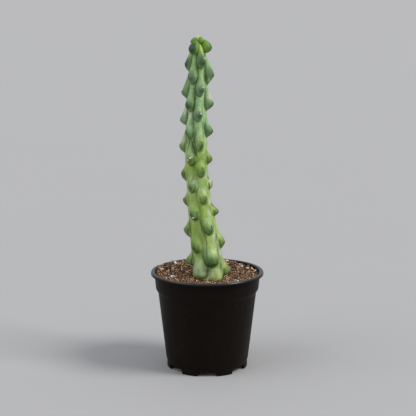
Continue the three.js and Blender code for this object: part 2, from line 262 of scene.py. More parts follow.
class Finish:
    # A material with a principled shader, and short ways to add the nodes that feed it
    def __init__(self, name, roughness):
        self.material = bpy.data.materials.new(name)
        self.material.use_nodes = True
        self.tree = self.material.node_tree
        self.shader = self.tree.nodes["Principled BSDF"]
        self.place = self.node("ShaderNodeTexCoord", {}).outputs["Object"]
        self.set("Roughness", roughness)

    def node(self, kind, inputs, **settings):
        # A new node with its inputs fed, by name or number, and its own settings
        made = self.tree.nodes.new(kind)
        for key, value in settings.items():
            setattr(made, key, value)
        for key, value in inputs.items():
            self.feed(made.inputs[key], value)
        return made

    def feed(self, socket, value):
        # A link from another node's output, or the socket's own value: a number, a vector or a colour code
        if isinstance(value, bpy.types.NodeSocket):
            self.tree.links.new(value, socket)
        elif isinstance(value, str):
            socket.default_value = (*linear(value), 1)
        elif hasattr(value, "__len__"):
            socket.default_value = (*value, 1)[:len(socket.default_value)]
        else:
            socket.default_value = value

    def set(self, name, value):
        self.feed(self.shader.inputs[name], value)

    def mask(self, name):
        return self.node("ShaderNodeAttribute", {}, attribute_name=name).outputs["Fac"]

    def tint(self):
        return self.node("ShaderNodeAttribute", {}, attribute_name="tint").outputs["Color"]

    def noise(self, size, detail=2.0, stretch=1.0):
        # Noise from 0 to 1 with patches of that size in millimetres, taller where the stretch is under 1
        place = self.node("ShaderNodeMapping", {"Vector": self.place, "Scale": (1, 1, stretch)}).outputs["Vector"]
        inputs = {"Vector": place, "Scale": 1 / (size * mm), "Detail": detail}
        return self.node("ShaderNodeTexNoise", inputs).outputs["Fac"]

    def remap(self, value, low, high, start=0.0, end=1.0):
        # The value's stretch from low to high becomes start to end, and is cut off beyond
        inputs = {"Value": value, "From Min": low, "From Max": high, "To Min": start, "To Max": end}
        return self.node("ShaderNodeMapRange", inputs, interpolation_type="SMOOTHSTEP").outputs["Result"]

    def math(self, operation, a, b):
        # Two values added, multiplied or compared, cut off at 0 and 1
        return self.node("ShaderNodeMath", {0: a, 1: b}, operation=operation, use_clamp=True).outputs["Value"]

    def mix(self, share, a, b, blend="MIX"):
        # Inputs 6 and 7 and output 2 are the ones for colours
        inputs = {"Factor": share, 6: a, 7: b}
        return self.node("ShaderNodeMix", inputs, data_type="RGBA", blend_type=blend).outputs[2]

    def lay(self, colour, share, strength=None):
        # The colour over the base colour, by a value or a mask's name, times a strength
        if isinstance(share, str):
            share = self.mask(share)
        if strength is not None:
            share = self.math("MULTIPLY", share, strength)
        base = self.shader.inputs["Base Color"]
        self.feed(base, self.mix(share, base.links[0].from_socket, colour))

    def bump(self, height, depth, strength):
        # Relief of that depth in millimetres, on top of the relief so far
        made = self.node("ShaderNodeBump", {"Height": height, "Distance": depth * mm, "Strength": strength})
        normal = self.shader.inputs["Normal"]
        if normal.is_linked:
            self.feed(made.inputs["Normal"], normal.links[0].from_socket)
        self.feed(normal, made.outputs["Normal"])


# View, floor and light

view = {
    "place": (0.8, -1000.0, 341.9),
    "pitchDown": 10.1,  # degrees
    "lens": 87.12,
    "sensor": 36,
}
studio = {
    "floorRadius": 30000,
    "floorCorners": 96,
    "floorColour": "afb0b3",
    "floorPatches": (400, 0.98),  # their size, and how bright the darkest are
    "skyColour": (0.985, 0.987, 1.01),
    "skyStrength": 0.5,
    # turn and height of a lamp far off, in degrees, its strength, the width of its disc in degrees, and its colour
    "lamps": [(72, 44, 2.15, 24, (1.0, 0.98, 0.93)), (-68, 40, 0.75, 50, (1.0, 1.0, 1.0))],
}


def makeView():
    # The photograph's view, level and turned down by the pitch
    camera = newObject("camera", bpy.data.cameras.new("camera"))
    camera.data.sensor_width = view["sensor"]
    camera.data.lens = view["lens"]
    camera.location = np.array(view["place"]) * mm
    camera.rotation_euler = (np.radians(90 - view["pitchDown"]), 0, 0)
    scene.camera = camera
    scene.view_settings.view_transform = "Standard"


def makeStudio():
    # A disc, a plain sky, and lamps that shine down from their turns and heights
    finish = Finish("pale floor", 0.8)
    size, darkest = studio["floorPatches"]
    floorColour = linear(studio["floorColour"])
    finish.set("Base Color", finish.mix(finish.noise(size), floorColour * darkest, floorColour))
    ring = outward(turnsRound(studio["floorCorners"])) * studio["floorRadius"]
    mesh = newMesh("floor", (ring, np.arange(len(ring))[None], np.zeros((0, 3))))
    mesh.materials.append(finish.material)
    newObject("floor", mesh)
    world = bpy.data.worlds.new("studio")
    world.use_nodes = True
    background = world.node_tree.nodes["Background"]
    background.inputs["Color"].default_value = (*studio["skyColour"], 1)
    background.inputs["Strength"].default_value = studio["skyStrength"]
    scene.world = world
    for turn, high, strength, width, colour in studio["lamps"]:
        lamp = newObject("soft lamp", bpy.data.lights.new("soft lamp", "SUN"))
        lamp.data.energy = strength
        lamp.data.angle = np.radians(width)
        lamp.data.color = colour
        lamp.rotation_euler = (np.radians(90 - high), 0, np.radians(turn))
    print("view, floor and light")


# The pot

pot = {
    "height": 99.2,
    "rimRadius": 57.5,
    "rimHeight": 3.5,
    "rimRound": 1.2,
    "rimTaper": (0.3, 0.6, 0.1),  # how far its foot and its top lie in, and how far its top lies down
    "bandRadius": 53.8,
    "bandFoot": (52.4, 81.4),  # radius and height
    "body": (50.1, 77.8),
    "wall": 1.3,
    "footRadius": 41.3,
    "footHeight": 8.2,
    "footWall": 2,
    "footLedge": (0.8, 0.7, 0.3),  # how far the body stands out over the foot, and the slope between, down and up
    "gutter": (27, 5.6),
    "padHeight": 3.2,
    "floor": 1.4,
    "middle": 0.2,  # radius of the innermost ring
    "notches": 7,
    "notchWidth": 18,
    "notchHeight": 4.9,
    "notchSlope": 1.2,  # how much wider each side of a notch is at its foot
    "drains": {"circle": 33, "radius": 3.2, "low": 3, "high": 10, "corners": 24},
    "columns": 32,  # in one of the notches' pitches
    "cornerSteps": 4,
    "longestRound": 0.48,  # how much of a side a rounded corner may take up
    "longestStep": 6,
    "sharpAngle": 45,
    "glossAndPaintedReflection": (2.2, 0.6),  # the rim's smoother top, painted lighter as a reflection of the sky, begins and is full this far below the pot's height
    "glossAndPaintedReflectionFade": 1,  # and over this width inside the band's radius
    "specular": 0.09,
    "rimSpecular": 0.4,
    # near-black plastic, with a warm brown cast that is a painted reflection
    "plastic": ("0b0603", "150d07"),
    "dust": "8a857c",
    # painted reflection of the sky, laid on the rim's top
    "paintedReflectionColour": "24282d",
}


def roundedOutline(corners):
    # Corners (radius, height, round): each between the ends becomes a curve that is tangent to both its sides,
    # (1 - s)^2 start + 2 s (1 - s) corner + s^2 end
    points = [np.array(corner[:2], float) for corner in corners]
    share = np.linspace(0, 1, pot["cornerSteps"] + 1)[:, None]
    outline = [points[:1]]
    for before, here, after, (_, _, size) in zip(points, points[1:], points[2:], corners[1:]):
        start, end = (lerp(here, side, min(size / np.linalg.norm(side - here), pot["longestRound"]))
                      for side in (before, after))
        outline.append((1 - share) ** 2 * start + 2 * share * (1 - share) * here + share ** 2 * end)
    return np.concatenate(outline + [points[-1:]])


def subdivided(outline, longest):
    # The same outline with no step longer than longest
    points = [outline[0]]
    for start, end in zip(outline[:-1], outline[1:]):
        steps = max(1, int(np.ceil(np.linalg.norm(end - start) / longest)))
        points += [lerp(start, end, (k + 1) / steps) for k in range(steps)]
    return np.array(points)


def potTurns():
    # Columns for one pitch, from pad middle to pad middle: even ones, with two pairs at each side of the notch
    half = 180 / pot["notches"]
    inner = np.degrees(np.arcsin(pot["notchWidth"] / 2 / pot["footRadius"]))
    outer = np.degrees(np.arcsin((pot["notchWidth"] / 2 + pot["notchSlope"]) / pot["footRadius"]))
    side = pot["columns"] // 2
    notch = np.linspace(0, inner, side // 2, endpoint=False)
    slope = np.array([inner, lerp(inner, outer, 0.5), outer])
    pad = np.linspace(outer, half, side - len(notch) - len(slope) + 1)[1:]
    right = np.concatenate([notch, slope, pad])
    pitch = np.concatenate([-right[::-1], right[1:]])[:-1]
    return np.concatenate([pitch + 2 * half * k for k in range(pot["notches"])]), inner, outer


def potOutline():
    # Corners (radius, height, round) from under the floor's middle out to the foot, up the outside, over the
    # rim, down the inside and back to the floor's middle
    wall, floor, pad, foot = pot["wall"], pot["floor"], pot["padHeight"], pot["footRadius"]
    (ledge, slopeDown, slopeUp), footHeight = pot["footLedge"], pot["footHeight"]
    (gutter, gutterHeight), (body, bodyHeight), (band, bandHeight) = pot["gutter"], pot["body"], pot["bandFoot"]
    taperFoot, taperTop, drop = pot["rimTaper"]
    rim, rimFoot, rimTop = pot["rimRadius"], pot["height"] - pot["rimHeight"], pot["height"] - drop
    mouth = pot["bandRadius"] - wall
    return [
        (pot["middle"], pad),
        (gutter - 2 * floor, pad, 1),
        (gutter - floor, gutterHeight, 1),
        (foot - pot["footWall"], gutterHeight, 0.8),
        (foot - pot["footWall"], 0, 0.4),
        (foot, 0, 0.4),
        (foot, footHeight - slopeDown, 0.3),
        (foot + ledge, footHeight + slopeUp, 0.5),
        (body, bodyHeight, 1.2),
        (band, bandHeight, 1.2),
        (pot["bandRadius"], rimFoot, 0.6),
        (rim - taperFoot, rimFoot, 1.2),
        (rim, lerp(rimFoot, pot["height"], 0.5), 1.2),
        (rim - taperTop, rimTop, 1.2),
        (mouth + pot["rimRound"], rimTop, 1),
        (mouth, pot["height"] - pot["rimRound"] - taperTop, 1),
        (band - wall, bandHeight, 1.2),
        (body - wall, bodyHeight, 1.2),
        (foot + ledge - wall, footHeight, 1),
        (foot - wall, gutterHeight + floor, 1),
        (gutter, gutterHeight + floor, 1),
        (gutter - floor, pad + floor, 1),
        (pot["middle"], pad + floor),
    ]


def potFinish(name, specular):
    # Black plastic with a warm brown cast that is a painted reflection, faint clouds, dust, and a rim whose top is
    # smoother and painted lighter as a reflection of the sky
    finish = Finish(name, 0.4)
    finish.set("Specular IOR Level", specular)
    finish.set("Base Color", finish.mix(finish.noise(26, 3), *pot["plastic"]))
    speck = finish.remap(finish.noise(1.1, 1), 0.72, 0.80)
    patch = finish.remap(finish.noise(17), 0.48, 0.68)
    finish.lay(pot["dust"], finish.math("MULTIPLY", speck, patch), 0.45)
    # The rim's top is smoother and is painted lighter as a reflection of the sky, and the rest has faint upright
    # streaks
    finish.lay(pot["paintedReflectionColour"], "rim", 0.8)
    streak = finish.remap(finish.noise(9, 3, 0.12), 0.3, 0.75, 0.46, 0.58)
    finish.set("Roughness", finish.remap(finish.mask("rim"), 0, 1, streak, 0.24))
    finish.bump(finish.noise(0.6), 0.03, 0.35)
    finish.bump(finish.noise(14, 1), 0.25, 0.4)
    return finish.material


def notchLift(radius, height, turns, inner, outer):
    # How far the foot ring's points rise in a notch: its lowest edge to the notch's height, its top not at all
    inPitch = np.abs(turnBetween(0, turns * pot["notches"])) / pot["notches"]
    lift = pot["notchHeight"] * np.clip((outer - inPitch) / (outer - inner), 0, 1)
    ringFoot = pot["footRadius"] - pot["footWall"]
    isOutside = radius > lerp(ringFoot, pot["footRadius"], 0.5)
    top = np.where(isOutside, pot["footHeight"] - pot["footLedge"][1], pot["gutter"][1])
    return np.clip(1 - height / top, 0, 1) * (radius > ringFoot - 0.01) * lift


def makePot():
    # The outline turned about Z, less the drains. It starts under the floor and ends above it, so that its rows
    # run outwards, up and back in.
    turns, inner, outer = potTurns()
    outline = subdivided(roundedOutline(potOutline()), pot["longestStep"])
    radius, height = outline[:, :1], outline[:, 1:]
    points = radius[..., None] * outward(turns)[None]
    points[..., 2] = height + notchLift(radius, height, turns, inner, outer)
    low, high = pot["glossAndPaintedReflection"]
    rim = smoothStep(points[..., 2], pot["height"] - low, pot["height"] - high)
    rim = rim * smoothStep(radius, pot["bandRadius"] - pot["glossAndPaintedReflectionFade"], pot["bandRadius"])
    shape, rimMask = closedTube(points), withEnds(rim)
    piece = addPiece("nursery_pot", shape, potFinish("black nursery plastic", pot["specular"]), ["pot"],
                     masks={"rim": rimMask}, sharpAngle=pot["sharpAngle"])
    # The faces on the rim's top get the shinier finish
    piece.data.materials.append(potFinish("rubbed rim", pot["rimSpecular"]))
    onRim = np.concatenate([rimMask[faces].mean(axis=1) > 0.5 for faces in shape[1:]])
    piece.data.polygons.foreach_set("material_index", onRim.astype(np.int32))
    drains = pot["drains"]
    ring = outward(turnsRound(drains["corners"])) * drains["radius"]
    drain = closedTube(ring + np.array([[[0, 0, drains["low"]]], [[0, 0, drains["high"]]]]))
    places = outward(turnsRound(pot["notches"])) * drains["circle"]
    cutAway(piece, repeated(drain[0] + places[:, None], *drain[1:]))


# The cactus

cactus = {
    "buriedRows": [58, 68, 78],  # heights of the skin's few rows deep in the mix
    "buriedTop": 89,
    "ribsFull": 105,
    "stemTop": 331.5,
    "skinTop": 331.3,
    "columns": 240,
    "rows": 360,
    "stemRounding": (6, 9),  # half width of the running mean that makes the stem's line a curve, and its samples
    "crownTaper": 5,
    "ribRelief": 1.3,
    "smoothStem": (225, 270),  # below the first the valleys between the ribs are shallow, above the second full
    "oldValley": 0.3,
    "blend": (2.6, 4),  # the power at which overlapping tubercles are added up, on the old and the young stem
    "droop": 0.22,
    "skinLies": 1,  # how far the skin lies outside the stem on average, for lengths round it
    "padsLie": 4,  # the same at the areoles
    # A tubercle's shape when young and when old: its flank's length, its underside's length, the half width of
    # its knob and of the swelling that carries it, how much the flank narrows, how rounded the flank is, the
    # swelling's part of the rise at the tip, how far above the tip the knob has melted into the swelling,
    # the power of the flank's section, how pointed the tip is seen from the side, and how dark it is
    # A tip's dark is partly painted shade on the old knobs' undersides
    "young": {"upper": 18.5, "lower": 7.4, "knob": 5.6, "swelling": 7.4, "narrowing": 0.5, "round": 0,
              "share": 0.3, "hold": 7, "flank": 1.1, "point": 0.8, "dark": 0.8},
    "old": {"upper": 11.5, "lower": 6.6, "knob": 4.1, "swelling": 8.8, "narrowing": 0.2, "round": 0.85,
            "share": 0.5, "hold": 4.5, "flank": 1.1, "point": 0.5, "dark": 0.85},
    # What the photo shows otherwise, for a rib's turn and a tip's height
    "odd": {
        (-96, 308): {"dark": 1.2}, (-96, 280.5): {"lower": 6.3, "point": 1},
        (-96, 254): {"upper": 15, "lower": 6.1, "point": 0.3, "dark": 0.4},
        (-96, 199.5): {"upper": 8.5, "lower": 8.2, "point": 0.2, "dark": 1.6}, (-96, 172): {"upper": 8, "dark": 1.2},
        (-96, 141.5): {"upper": 11, "lower": 8}, (-96, 109.5): {"upper": 10.6, "lower": 5.2},
        (-37, 296): {"knob": 6.6, "swelling": 8.2}, (-37, 269): {"dark": 0.9},
        (-37, 242): {"knob": 4.9, "swelling": 6.8, "dark": 0.35},
        (-37, 215): {"upper": 17, "narrowing": 0.8, "dark": 0.6}, (-37, 188): {"share": 0.75, "dark": 0.4},
        (-37, 127): {"upper": 13, "knob": 4.6, "share": 0.65}, (-37, 100.5): {"knob": 8.2, "dark": 0.35},
        (23, 311): {"upper": 20.5, "narrowing": 0.45, "flank": 0.45, "dark": 1}, (23, 230): {"dark": 0.5},
        (23, 203.5): {"dark": 0.5}, (23, 175.5): {"lower": 5.8, "knob": 3.7, "dark": 0.65},
        (23, 145.5): {"upper": 12, "knob": 5}, (23, 112): {"lower": 5.2, "knob": 7.8, "dark": 1.1},
        (84, 298.5): {"lower": 11, "point": 1}, (84, 243): {"upper": 10.5}, (84, 215.5): {"upper": 6.3, "point": 0.1},
        (84, 189.5): {"upper": 6.5, "point": 0.1, "dark": 0.3}, (84, 162): {"upper": 6.5, "lower": 5.6},
        (84, 130.5): {"upper": 13.5, "lower": 8, "point": 0.9}, (84, 101): {"upper": 13},
    },
    # Heights between which tubercles pass from old to young and from wide to slim, and the knobs of the crown begin
    "oldStem": (200, 245),
    "swollenStem": (140, 175),
    "wideFoot": (116, 140),
    "freshTop": (286, 300),
    "swollenFlank": 6.5,  # what flanks are longer on the swollen stem
    "wideKnob": 2.6,  # what the knobs and swellings at the swollen foot are wider
    "wideSwelling": 2.5,
    "freshHold": 12,  # what the knobs hold longer just under the crown
    "undercut": 1.3,
    "pointPower": 0.75,
    "softEnd": 0.02,
    "flankReach": 1.6,  # where a flank's soft end is cut off, in flanks
    "knobSection": 0.68,
    "swellingSection": 1.7,
    # The dark tips, their own slate green round the young areoles and partly painted shade on the old knobs'
    # undersides: the middle's height over the tip and the half height, on the stem and at the crown, with what the
    # foot adds to each, the half width in knobs, and how fast they fade
    "darkTip": {"middle": (-0.6, 0.8), "footMiddle": 2, "size": (5.4, 7.6), "footSize": 1.2, "breadth": 1.05,
                "fade": 1.5},
    # The painted shade line round a knob's underside: how far out it lies and its width, in knobs, the height over
    # the tip between which it ends, and its share where it is faint
    "edge": {"out": 1.0, "width": 0.11, "end": (-3, 3), "faint": 0.4},
    # Wrinkles beside the undersides of the tubercles between two heights: how far out each lies, in knobs, and
    # how far to the side and below the tip they begin
    "wrinkle": {"depth": 0.4, "width": 0.12, "out": [1.38, 1.8], "low": 208, "high": 262, "fade": 15,
                "side": (0.55, 1), "end": (-4, 3)},
    "unevenLines": (0.12, 5),  # how much edges and wrinkles wander, in knobs, and over what length
    "brokenLines": (7, -0.15, 0.5),  # the size of the noise that breaks them, and its values from none to full
    "smudge": (1.7, 3.0, 2.4, 0.7),  # the painted shade under an areole: half width, half height, how far down, share
    # Dark streaks below some of them: turn, height, radius
    "streaks": [(23, 232.6, 1.2), (23, 231, 1.3), (23, 229.5, 1.4), (22, 228, 1.4), (21, 226.5, 1.3),
                (20, 225, 1.1), (25, 205, 1.4), (27, 202.5, 1.6), (26, 199.5, 1.5), (23, 197.5, 1.1),
                (27, 176, 1.4), (31, 147, 1.5), (31, 144, 1.7), (29, 141.5, 1.4)],
    # Broad furrows between the ribs of the old stem: depth, half width, and (turn, height) along each
    "furrows": [
        (0.35, 1.5, [(-9, 156), (-6, 150), (-1, 144), (6, 137), (5, 130), (-1, 123), (-3, 116), (1, 110), (8, 105)]),
        (0.2, 1.5, [(57, 160), (61, 152), (63, 142), (62, 134), (69, 126), (78, 120)]),
        (0.5, 1.5, [(-72, 158), (-77, 146), (-70, 136), (-66, 128), (-74, 115), (-76, 106)]),
        (0.25, 1.6, [(-45, 190), (-52, 182), (-60, 172), (-66, 162)]),
        (0.6, 1.5, [(110, 168), (117, 156), (113, 146), (108, 136), (114, 124), (119, 112)]),
        (0.6, 1.6, [(178, 162), (172, 150), (176, 140), (182, 130), (177, 119), (171, 109)]),
        (0.6, 1.5, [(-128, 164), (-124, 154), (-130, 144), (-133, 134), (-126, 124), (-122, 112)]),
    ],
    # Sharp creases, listed in the same way
    "creases": [
        (0.6, 0.5, [(-8, 150), (-3, 144), (5, 137), (6, 130), (1, 123), (-1, 116), (3, 110), (9, 104)]),
        (0.4, 0.45, [(-1, 140), (-3, 132), (-8, 124), (-8, 116), (-3, 108)]),
        (0.4, 0.45, [(45, 138), (47, 131), (53, 124), (56, 115), (53, 106)]),
        (0.35, 0.45, [(-58, 140), (-62, 132), (-58, 122), (-63, 113)]),
        (0.5, 0.5, [(104, 132), (100, 124), (104, 115), (101, 105)]),
        (0.5, 0.5, [(160, 138), (163, 128), (158, 118), (162, 108)]),
        (0.5, 0.5, [(-146, 146), (-142, 136), (-148, 126), (-151, 116), (-146, 106)]),
        (0.8, 0.5, [(-30, 237), (-22, 231), (-12, 226), (-2, 221), (2, 213)]),
        (0.7, 0.5, [(-30, 237), (-38, 230), (-48, 225), (-60, 219)]),
        (0.6, 0.45, [(-22, 240), (-12, 234), (-3, 228), (4, 222), (7, 216)]),
        (0.5, 0.45, [(-34, 240), (-36, 232), (-33, 227)]),
        (0.7, 0.5, [(32, 256), (40, 249), (48, 244), (58, 239)]),
        (0.7, 0.5, [(44, 256), (54, 248), (60, 242), (64, 236)]),
        (0.5, 0.45, [(-46, 238), (-52, 232), (-62, 226)]),
        (0.5, 0.45, [(120, 246), (126, 238), (124, 229)]),
        (0.5, 0.45, [(176, 238), (170, 230), (174, 221)]),
        (0.5, 0.45, [(-128, 243), (-134, 235), (-130, 226)]),
    ],
    "furrowEnd": 7,  # a furrow fades in and out over this much height
    "lumps": [(0.5, 11, 0.6, 3), (0.175, 4, 0.5, 4)],  # height, size, stretch along Z and seed of the noise
    # Flares of the foot at the soil: turn, reach, width in degrees, height up to which it is full, where it ends
    "flares": [(36, 4.5, 26, 92, 108), (-28, 3, 26, 91, 104), (84, 1.2, 20, 92, 104), (160, 1.8, 30, 93, 104),
               (-120, 1.8, 30, 93, 104)],
    # height, axis x, axis y, radius
    "stemLine": [
        (58, 0.4, 0, 11), (76, 0.6, 0, 13.6), (94, 1.2, 0, 14.8), (108, 0.8, 0.4, 15),
        (122, -1, 0.9, 14.7), (135, -2.8, 1.4, 14), (155, -5.8, 2, 12.6), (177, -8.5, 2.4, 11),
        (200, -10.4, 2.6, 10.4), (220, -11.2, 2.6, 10.3), (245, -11.2, 2.3, 9.8), (265, -10.8, 1.9, 9.4),
        (287, -9.6, 1.4, 9.1), (305, -8.8, 1, 7.8), (318, -8.6, 0.7, 6.2), (327, -8.8, 0.5, 4.6),
        (331.5, -9, 0.4, 0),
    ],
    # Each rib's turn, then its tubercles from the crown down: height of the tip, reach, sway beside the rib
    "ribs": [
        (-96, [308, 280.5, 254, 227, 199.5, 172, 141.5, 109.5],
         [5.4, 6.1, 6.4, 6, 4.9, 4.6, 6.2, 7.4], [0, 2, 0, 1, 2, 0, 0, -2]),
        (-37, [296, 269, 242, 215, 188, 160, 127, 100.5],
         [6.8, 6.6, 6, 5.6, 4.6, 5.4, 4.8, 6.6], [6, -1, 0, 10, 5, 5, -4, 5]),
        (23, [311, 284, 259.5, 230, 203.5, 175.5, 145.5, 112],
         [6.4, 6.2, 6.2, 6, 5.8, 5.4, 5.8, 6.8], [-2, -6, -12, -3, -1, -1, 1, -5]),
        (84, [298.5, 269.5, 243, 215.5, 189.5, 162, 130.5, 101],
         [7.8, 7.6, 7.2, 5.3, 4, 6, 6.4, 7.4], [0, 2, 0, 0, 0, -2, 0, 2]),
        (145, [309, 282, 255, 229, 202, 174.5, 145, 114],
         [6, 6.4, 6.6, 6.2, 5.6, 5.2, 5.8, 6.4], [2, -2, 1, 0, -3, 0, 2, 0]),
        (204, [297, 270, 242, 216, 189, 160.5, 129, 102.5],
         [7, 7.2, 6.6, 5.6, 5.2, 5.6, 6.2, 6.6], [2, -2, 1, 0, 3, -2, 0, -3]),
    ],
    # Corky scars: turn, height, radius
    "scars": [(15, 124, 0.9), (45, 124, 0.8), (-54, 107.8, 1.2), (23, 101, 1.1), (42, 93.5, 0.9), (120, 131, 0.9),
              (171, 117, 1.1), (-128, 124, 0.8), (-160, 103, 1.2), (98, 109, 1), (186, 152, 0.7),
              (-75, 137, 0.7)],
    "scarEdge": (0.5, 1.25),
    "scarHeight": 0.3,
    "sprout": (292, 328),  # the height over which the skin turns to the crown's young green
    "shoot": (319, 326, 0.3),  # and to the shoot's pale green, with its share
    # Half widths of the running means, in rows and columns
    "softening": {"form": (1, 2), "line": (0, 1), "crease": (1, 1), "valley": (9, 12)},
    "fullDepths": {"crease": 0.13, "line": 0.45, "valley": 1.6},  # the depths at which their masks are full
    # Patches of whitish wax, and on the lit right flank partly painted highlight: turn, height, radius
    "frost": [(-50, 103, 4), (-34, 104, 3), (-14, 106, 4), (8, 98, 5), (50, 102, 5), (38, 122, 4), (64, 118, 4),
              (56, 144, 7), (62, 130, 6), (48, 196, 6), (55, 232, 5), (74, 191, 5), (43, 184, 3.5), (-88, 262, 6),
              (-66, 250, 5), (-70, 190, 5), (-20, 102, 4), (52, 160, 5), (60, 172, 5), (48, 137, 5),
              (-28, 257, 5), (84, 277, 5), (52, 287, 6), (-20, 194, 3), (-90, 231, 5), (98, 104, 6),
              (130, 108, 6), (168, 103, 6), (-165, 110, 6), (-128, 103, 6), (-88, 104, 5), (-30, 158, 3),
              (150, 150, 6), (-140, 146, 6), (120, 190, 6), (-160, 205, 7), (175, 178, 5)],
    # Patches that keep the young stem's blue green
    "cool": [(-26, 107, 7), (-4, 108, 6), (-32, 227, 7), (-50, 221, 6), (-18, 221, 5), (-8, 190, 6), (12, 186, 5),
             (-24, 162, 6), (20, 151, 6), (100, 205, 8), (140, 186, 7), (175, 160, 8), (-160, 196, 8),
             (-130, 168, 7), (-100, 150, 6), (-64, 180, 5), (120, 150, 8), (-175, 130, 7), (70, 120, 6),
             (0, 120, 6)],
    # Patches of deeper, yellower green
    "deep": [(-32, 94, 5), (-22, 141, 8), (-46, 134, 6), (18, 214, 7), (-12, 206, 5), (-90, 171, 7),
             (-90, 197, 6), (-12, 162, 8), (-4, 150, 6), (-28, 119, 6), (10, 107, 7), (-96, 108, 5), (32, 200, 5),
             (84, 158, 6), (40, 168, 5), (96, 212, 6), (130, 170, 8), (160, 196, 8), (-150, 182, 8),
             (-128, 212, 7), (178, 134, 7), (-140, 124, 7), (112, 138, 7), (-72, 146, 6)],
}


def stemAt(height):
    # Axis x, axis y and radius: the list's straight stretches, averaged over a few millimetres into curves
    line = np.array(cactus["stemLine"])
    halfWidth, samples = cactus["stemRounding"]
    window = halfWidth * np.linspace(-1, 1, samples)
    near = np.clip(np.asarray(height, float)[..., None] + window, line[0, 0], line[-1, 0])
    return [np.interp(near, line[:, 0], line[:, k]).mean(axis=-1) for k in (1, 2, 3)]


def listTubercles():
    # Every tubercle with the shape that its age and its height give it
    found = []
    for turn, tips, reaches, sways in cactus["ribs"]:
        for tip, reach, sway in zip(tips, reaches, sways):
            old, swollen, wide = (1 - smoothStep(tip, *cactus[key]) for key in ("oldStem", "swollenStem", "wideFoot"))
            fresh = smoothStep(tip, *cactus["freshTop"])
            one = {key: lerp(value, cactus["old"][key], old) for key, value in cactus["young"].items()}
            one["hold"] += fresh * cactus["freshHold"]
            one["upper"] += swollen * cactus["swollenFlank"]
            one["knob"] += wide * cactus["wideKnob"]
            one["swelling"] += wide * cactus["wideSwelling"]
            one.update(cactus["odd"].get((turn, tip), {}))
            found.append({**one, "tip": tip, "turn": turn + sway, "reach": reach, "fresh": fresh, "wide": wide})
    return found


def section(arc, width, power):
    # (1 - (arc / half width)^2) to a power, and 0 beyond
    return np.clip(1 - (arc / np.maximum(width, 1e-6)) ** 2, 0, 1) ** power


def tubercleRise(one, turn, height, radius):
    # A teardrop: above the tip a flank that falls off with a soft end, straight when young and S-shaped when old,
    # and below it a half ellipse. Across, a rounded knob with steep sides stands on a broad bell-shaped swelling.
    # Returned with the arc from its middle line and the height over its tip.
    above = height - one["tip"]
    down = above / one["lower"]
    share = np.clip(above / one["upper"], 0, cactus["flankReach"])
    straight = (1 - share + np.sqrt((1 - share) ** 2 + cactus["softEnd"])) / 2
    straight = np.where(share < cactus["flankReach"], straight, 0)
    flank = lerp(straight, (1 + np.cos(np.pi * np.clip(share, 0, 1))) / 2, one["round"])
    under = np.sqrt(np.clip(1 - down ** 2, 0, 1))
    pointed = np.clip(1 + down, 0, 1) ** cactus["pointPower"]
    along = np.where(above > 0, flank, lerp(under ** cactus["undercut"], pointed, one["point"]))
    breadth = np.where(above > 0, 1 - one["narrowing"] * share, under)
    arc = arcBetween(one["turn"], turn, radius + one["reach"] / 2)
    knob = section(arc, one["knob"] * breadth, lerp(cactus["knobSection"], one["flank"], np.clip(share, 0, 1)))
    swelling = section(arc, one["swelling"] * breadth, cactus["swellingSection"])
    across = lerp(knob, swelling, lerp(one["share"], 1, smoothStep(above, 0, one["hold"])))
    return one["reach"] * along * across, arc, above


def blurred(values, rowWidth, columnWidth):
    # A running mean along rows and round the columns, with the given half widths in grid steps, done twice
    for _ in range(2):
        edge = np.pad(values, ((rowWidth, rowWidth), (0, 0)), mode="edge")
        values = sum(edge[k:k + len(values)] for k in range(2 * rowWidth + 1)) / (2 * rowWidth + 1)
        values = sum(np.roll(values, k, axis=1) for k in range(-columnWidth, columnWidth + 1))
        values = values / (2 * columnWidth + 1)
    return values


def nearSpots(spots, turn, height, radius):
    # The distance along the skin to the nearest spot, in units of that spot's radius
    nearest = np.inf
    for spotTurn, spotHeight, size in spots:
        arc = arcBetween(spotTurn, turn, radius + cactus["skinLies"])
        nearest = np.minimum(nearest, np.hypot(arc, height - spotHeight) / size)
    return nearest


def carved(courses, turn, height, radius):
    # How deep furrows are cut: each has a bell-shaped section, and fades in and out at its ends
    depths = 0
    for depth, width, path in courses:
        turns, heights = np.array(path[::-1]).T
        arc = arcBetween(np.interp(height, heights, turns), turn, radius + cactus["skinLies"])
        within = between(height, heights[0], heights[-1], cactus["furrowEnd"])
        depths = depths + depth * within * bell(arc, width)
    return depths


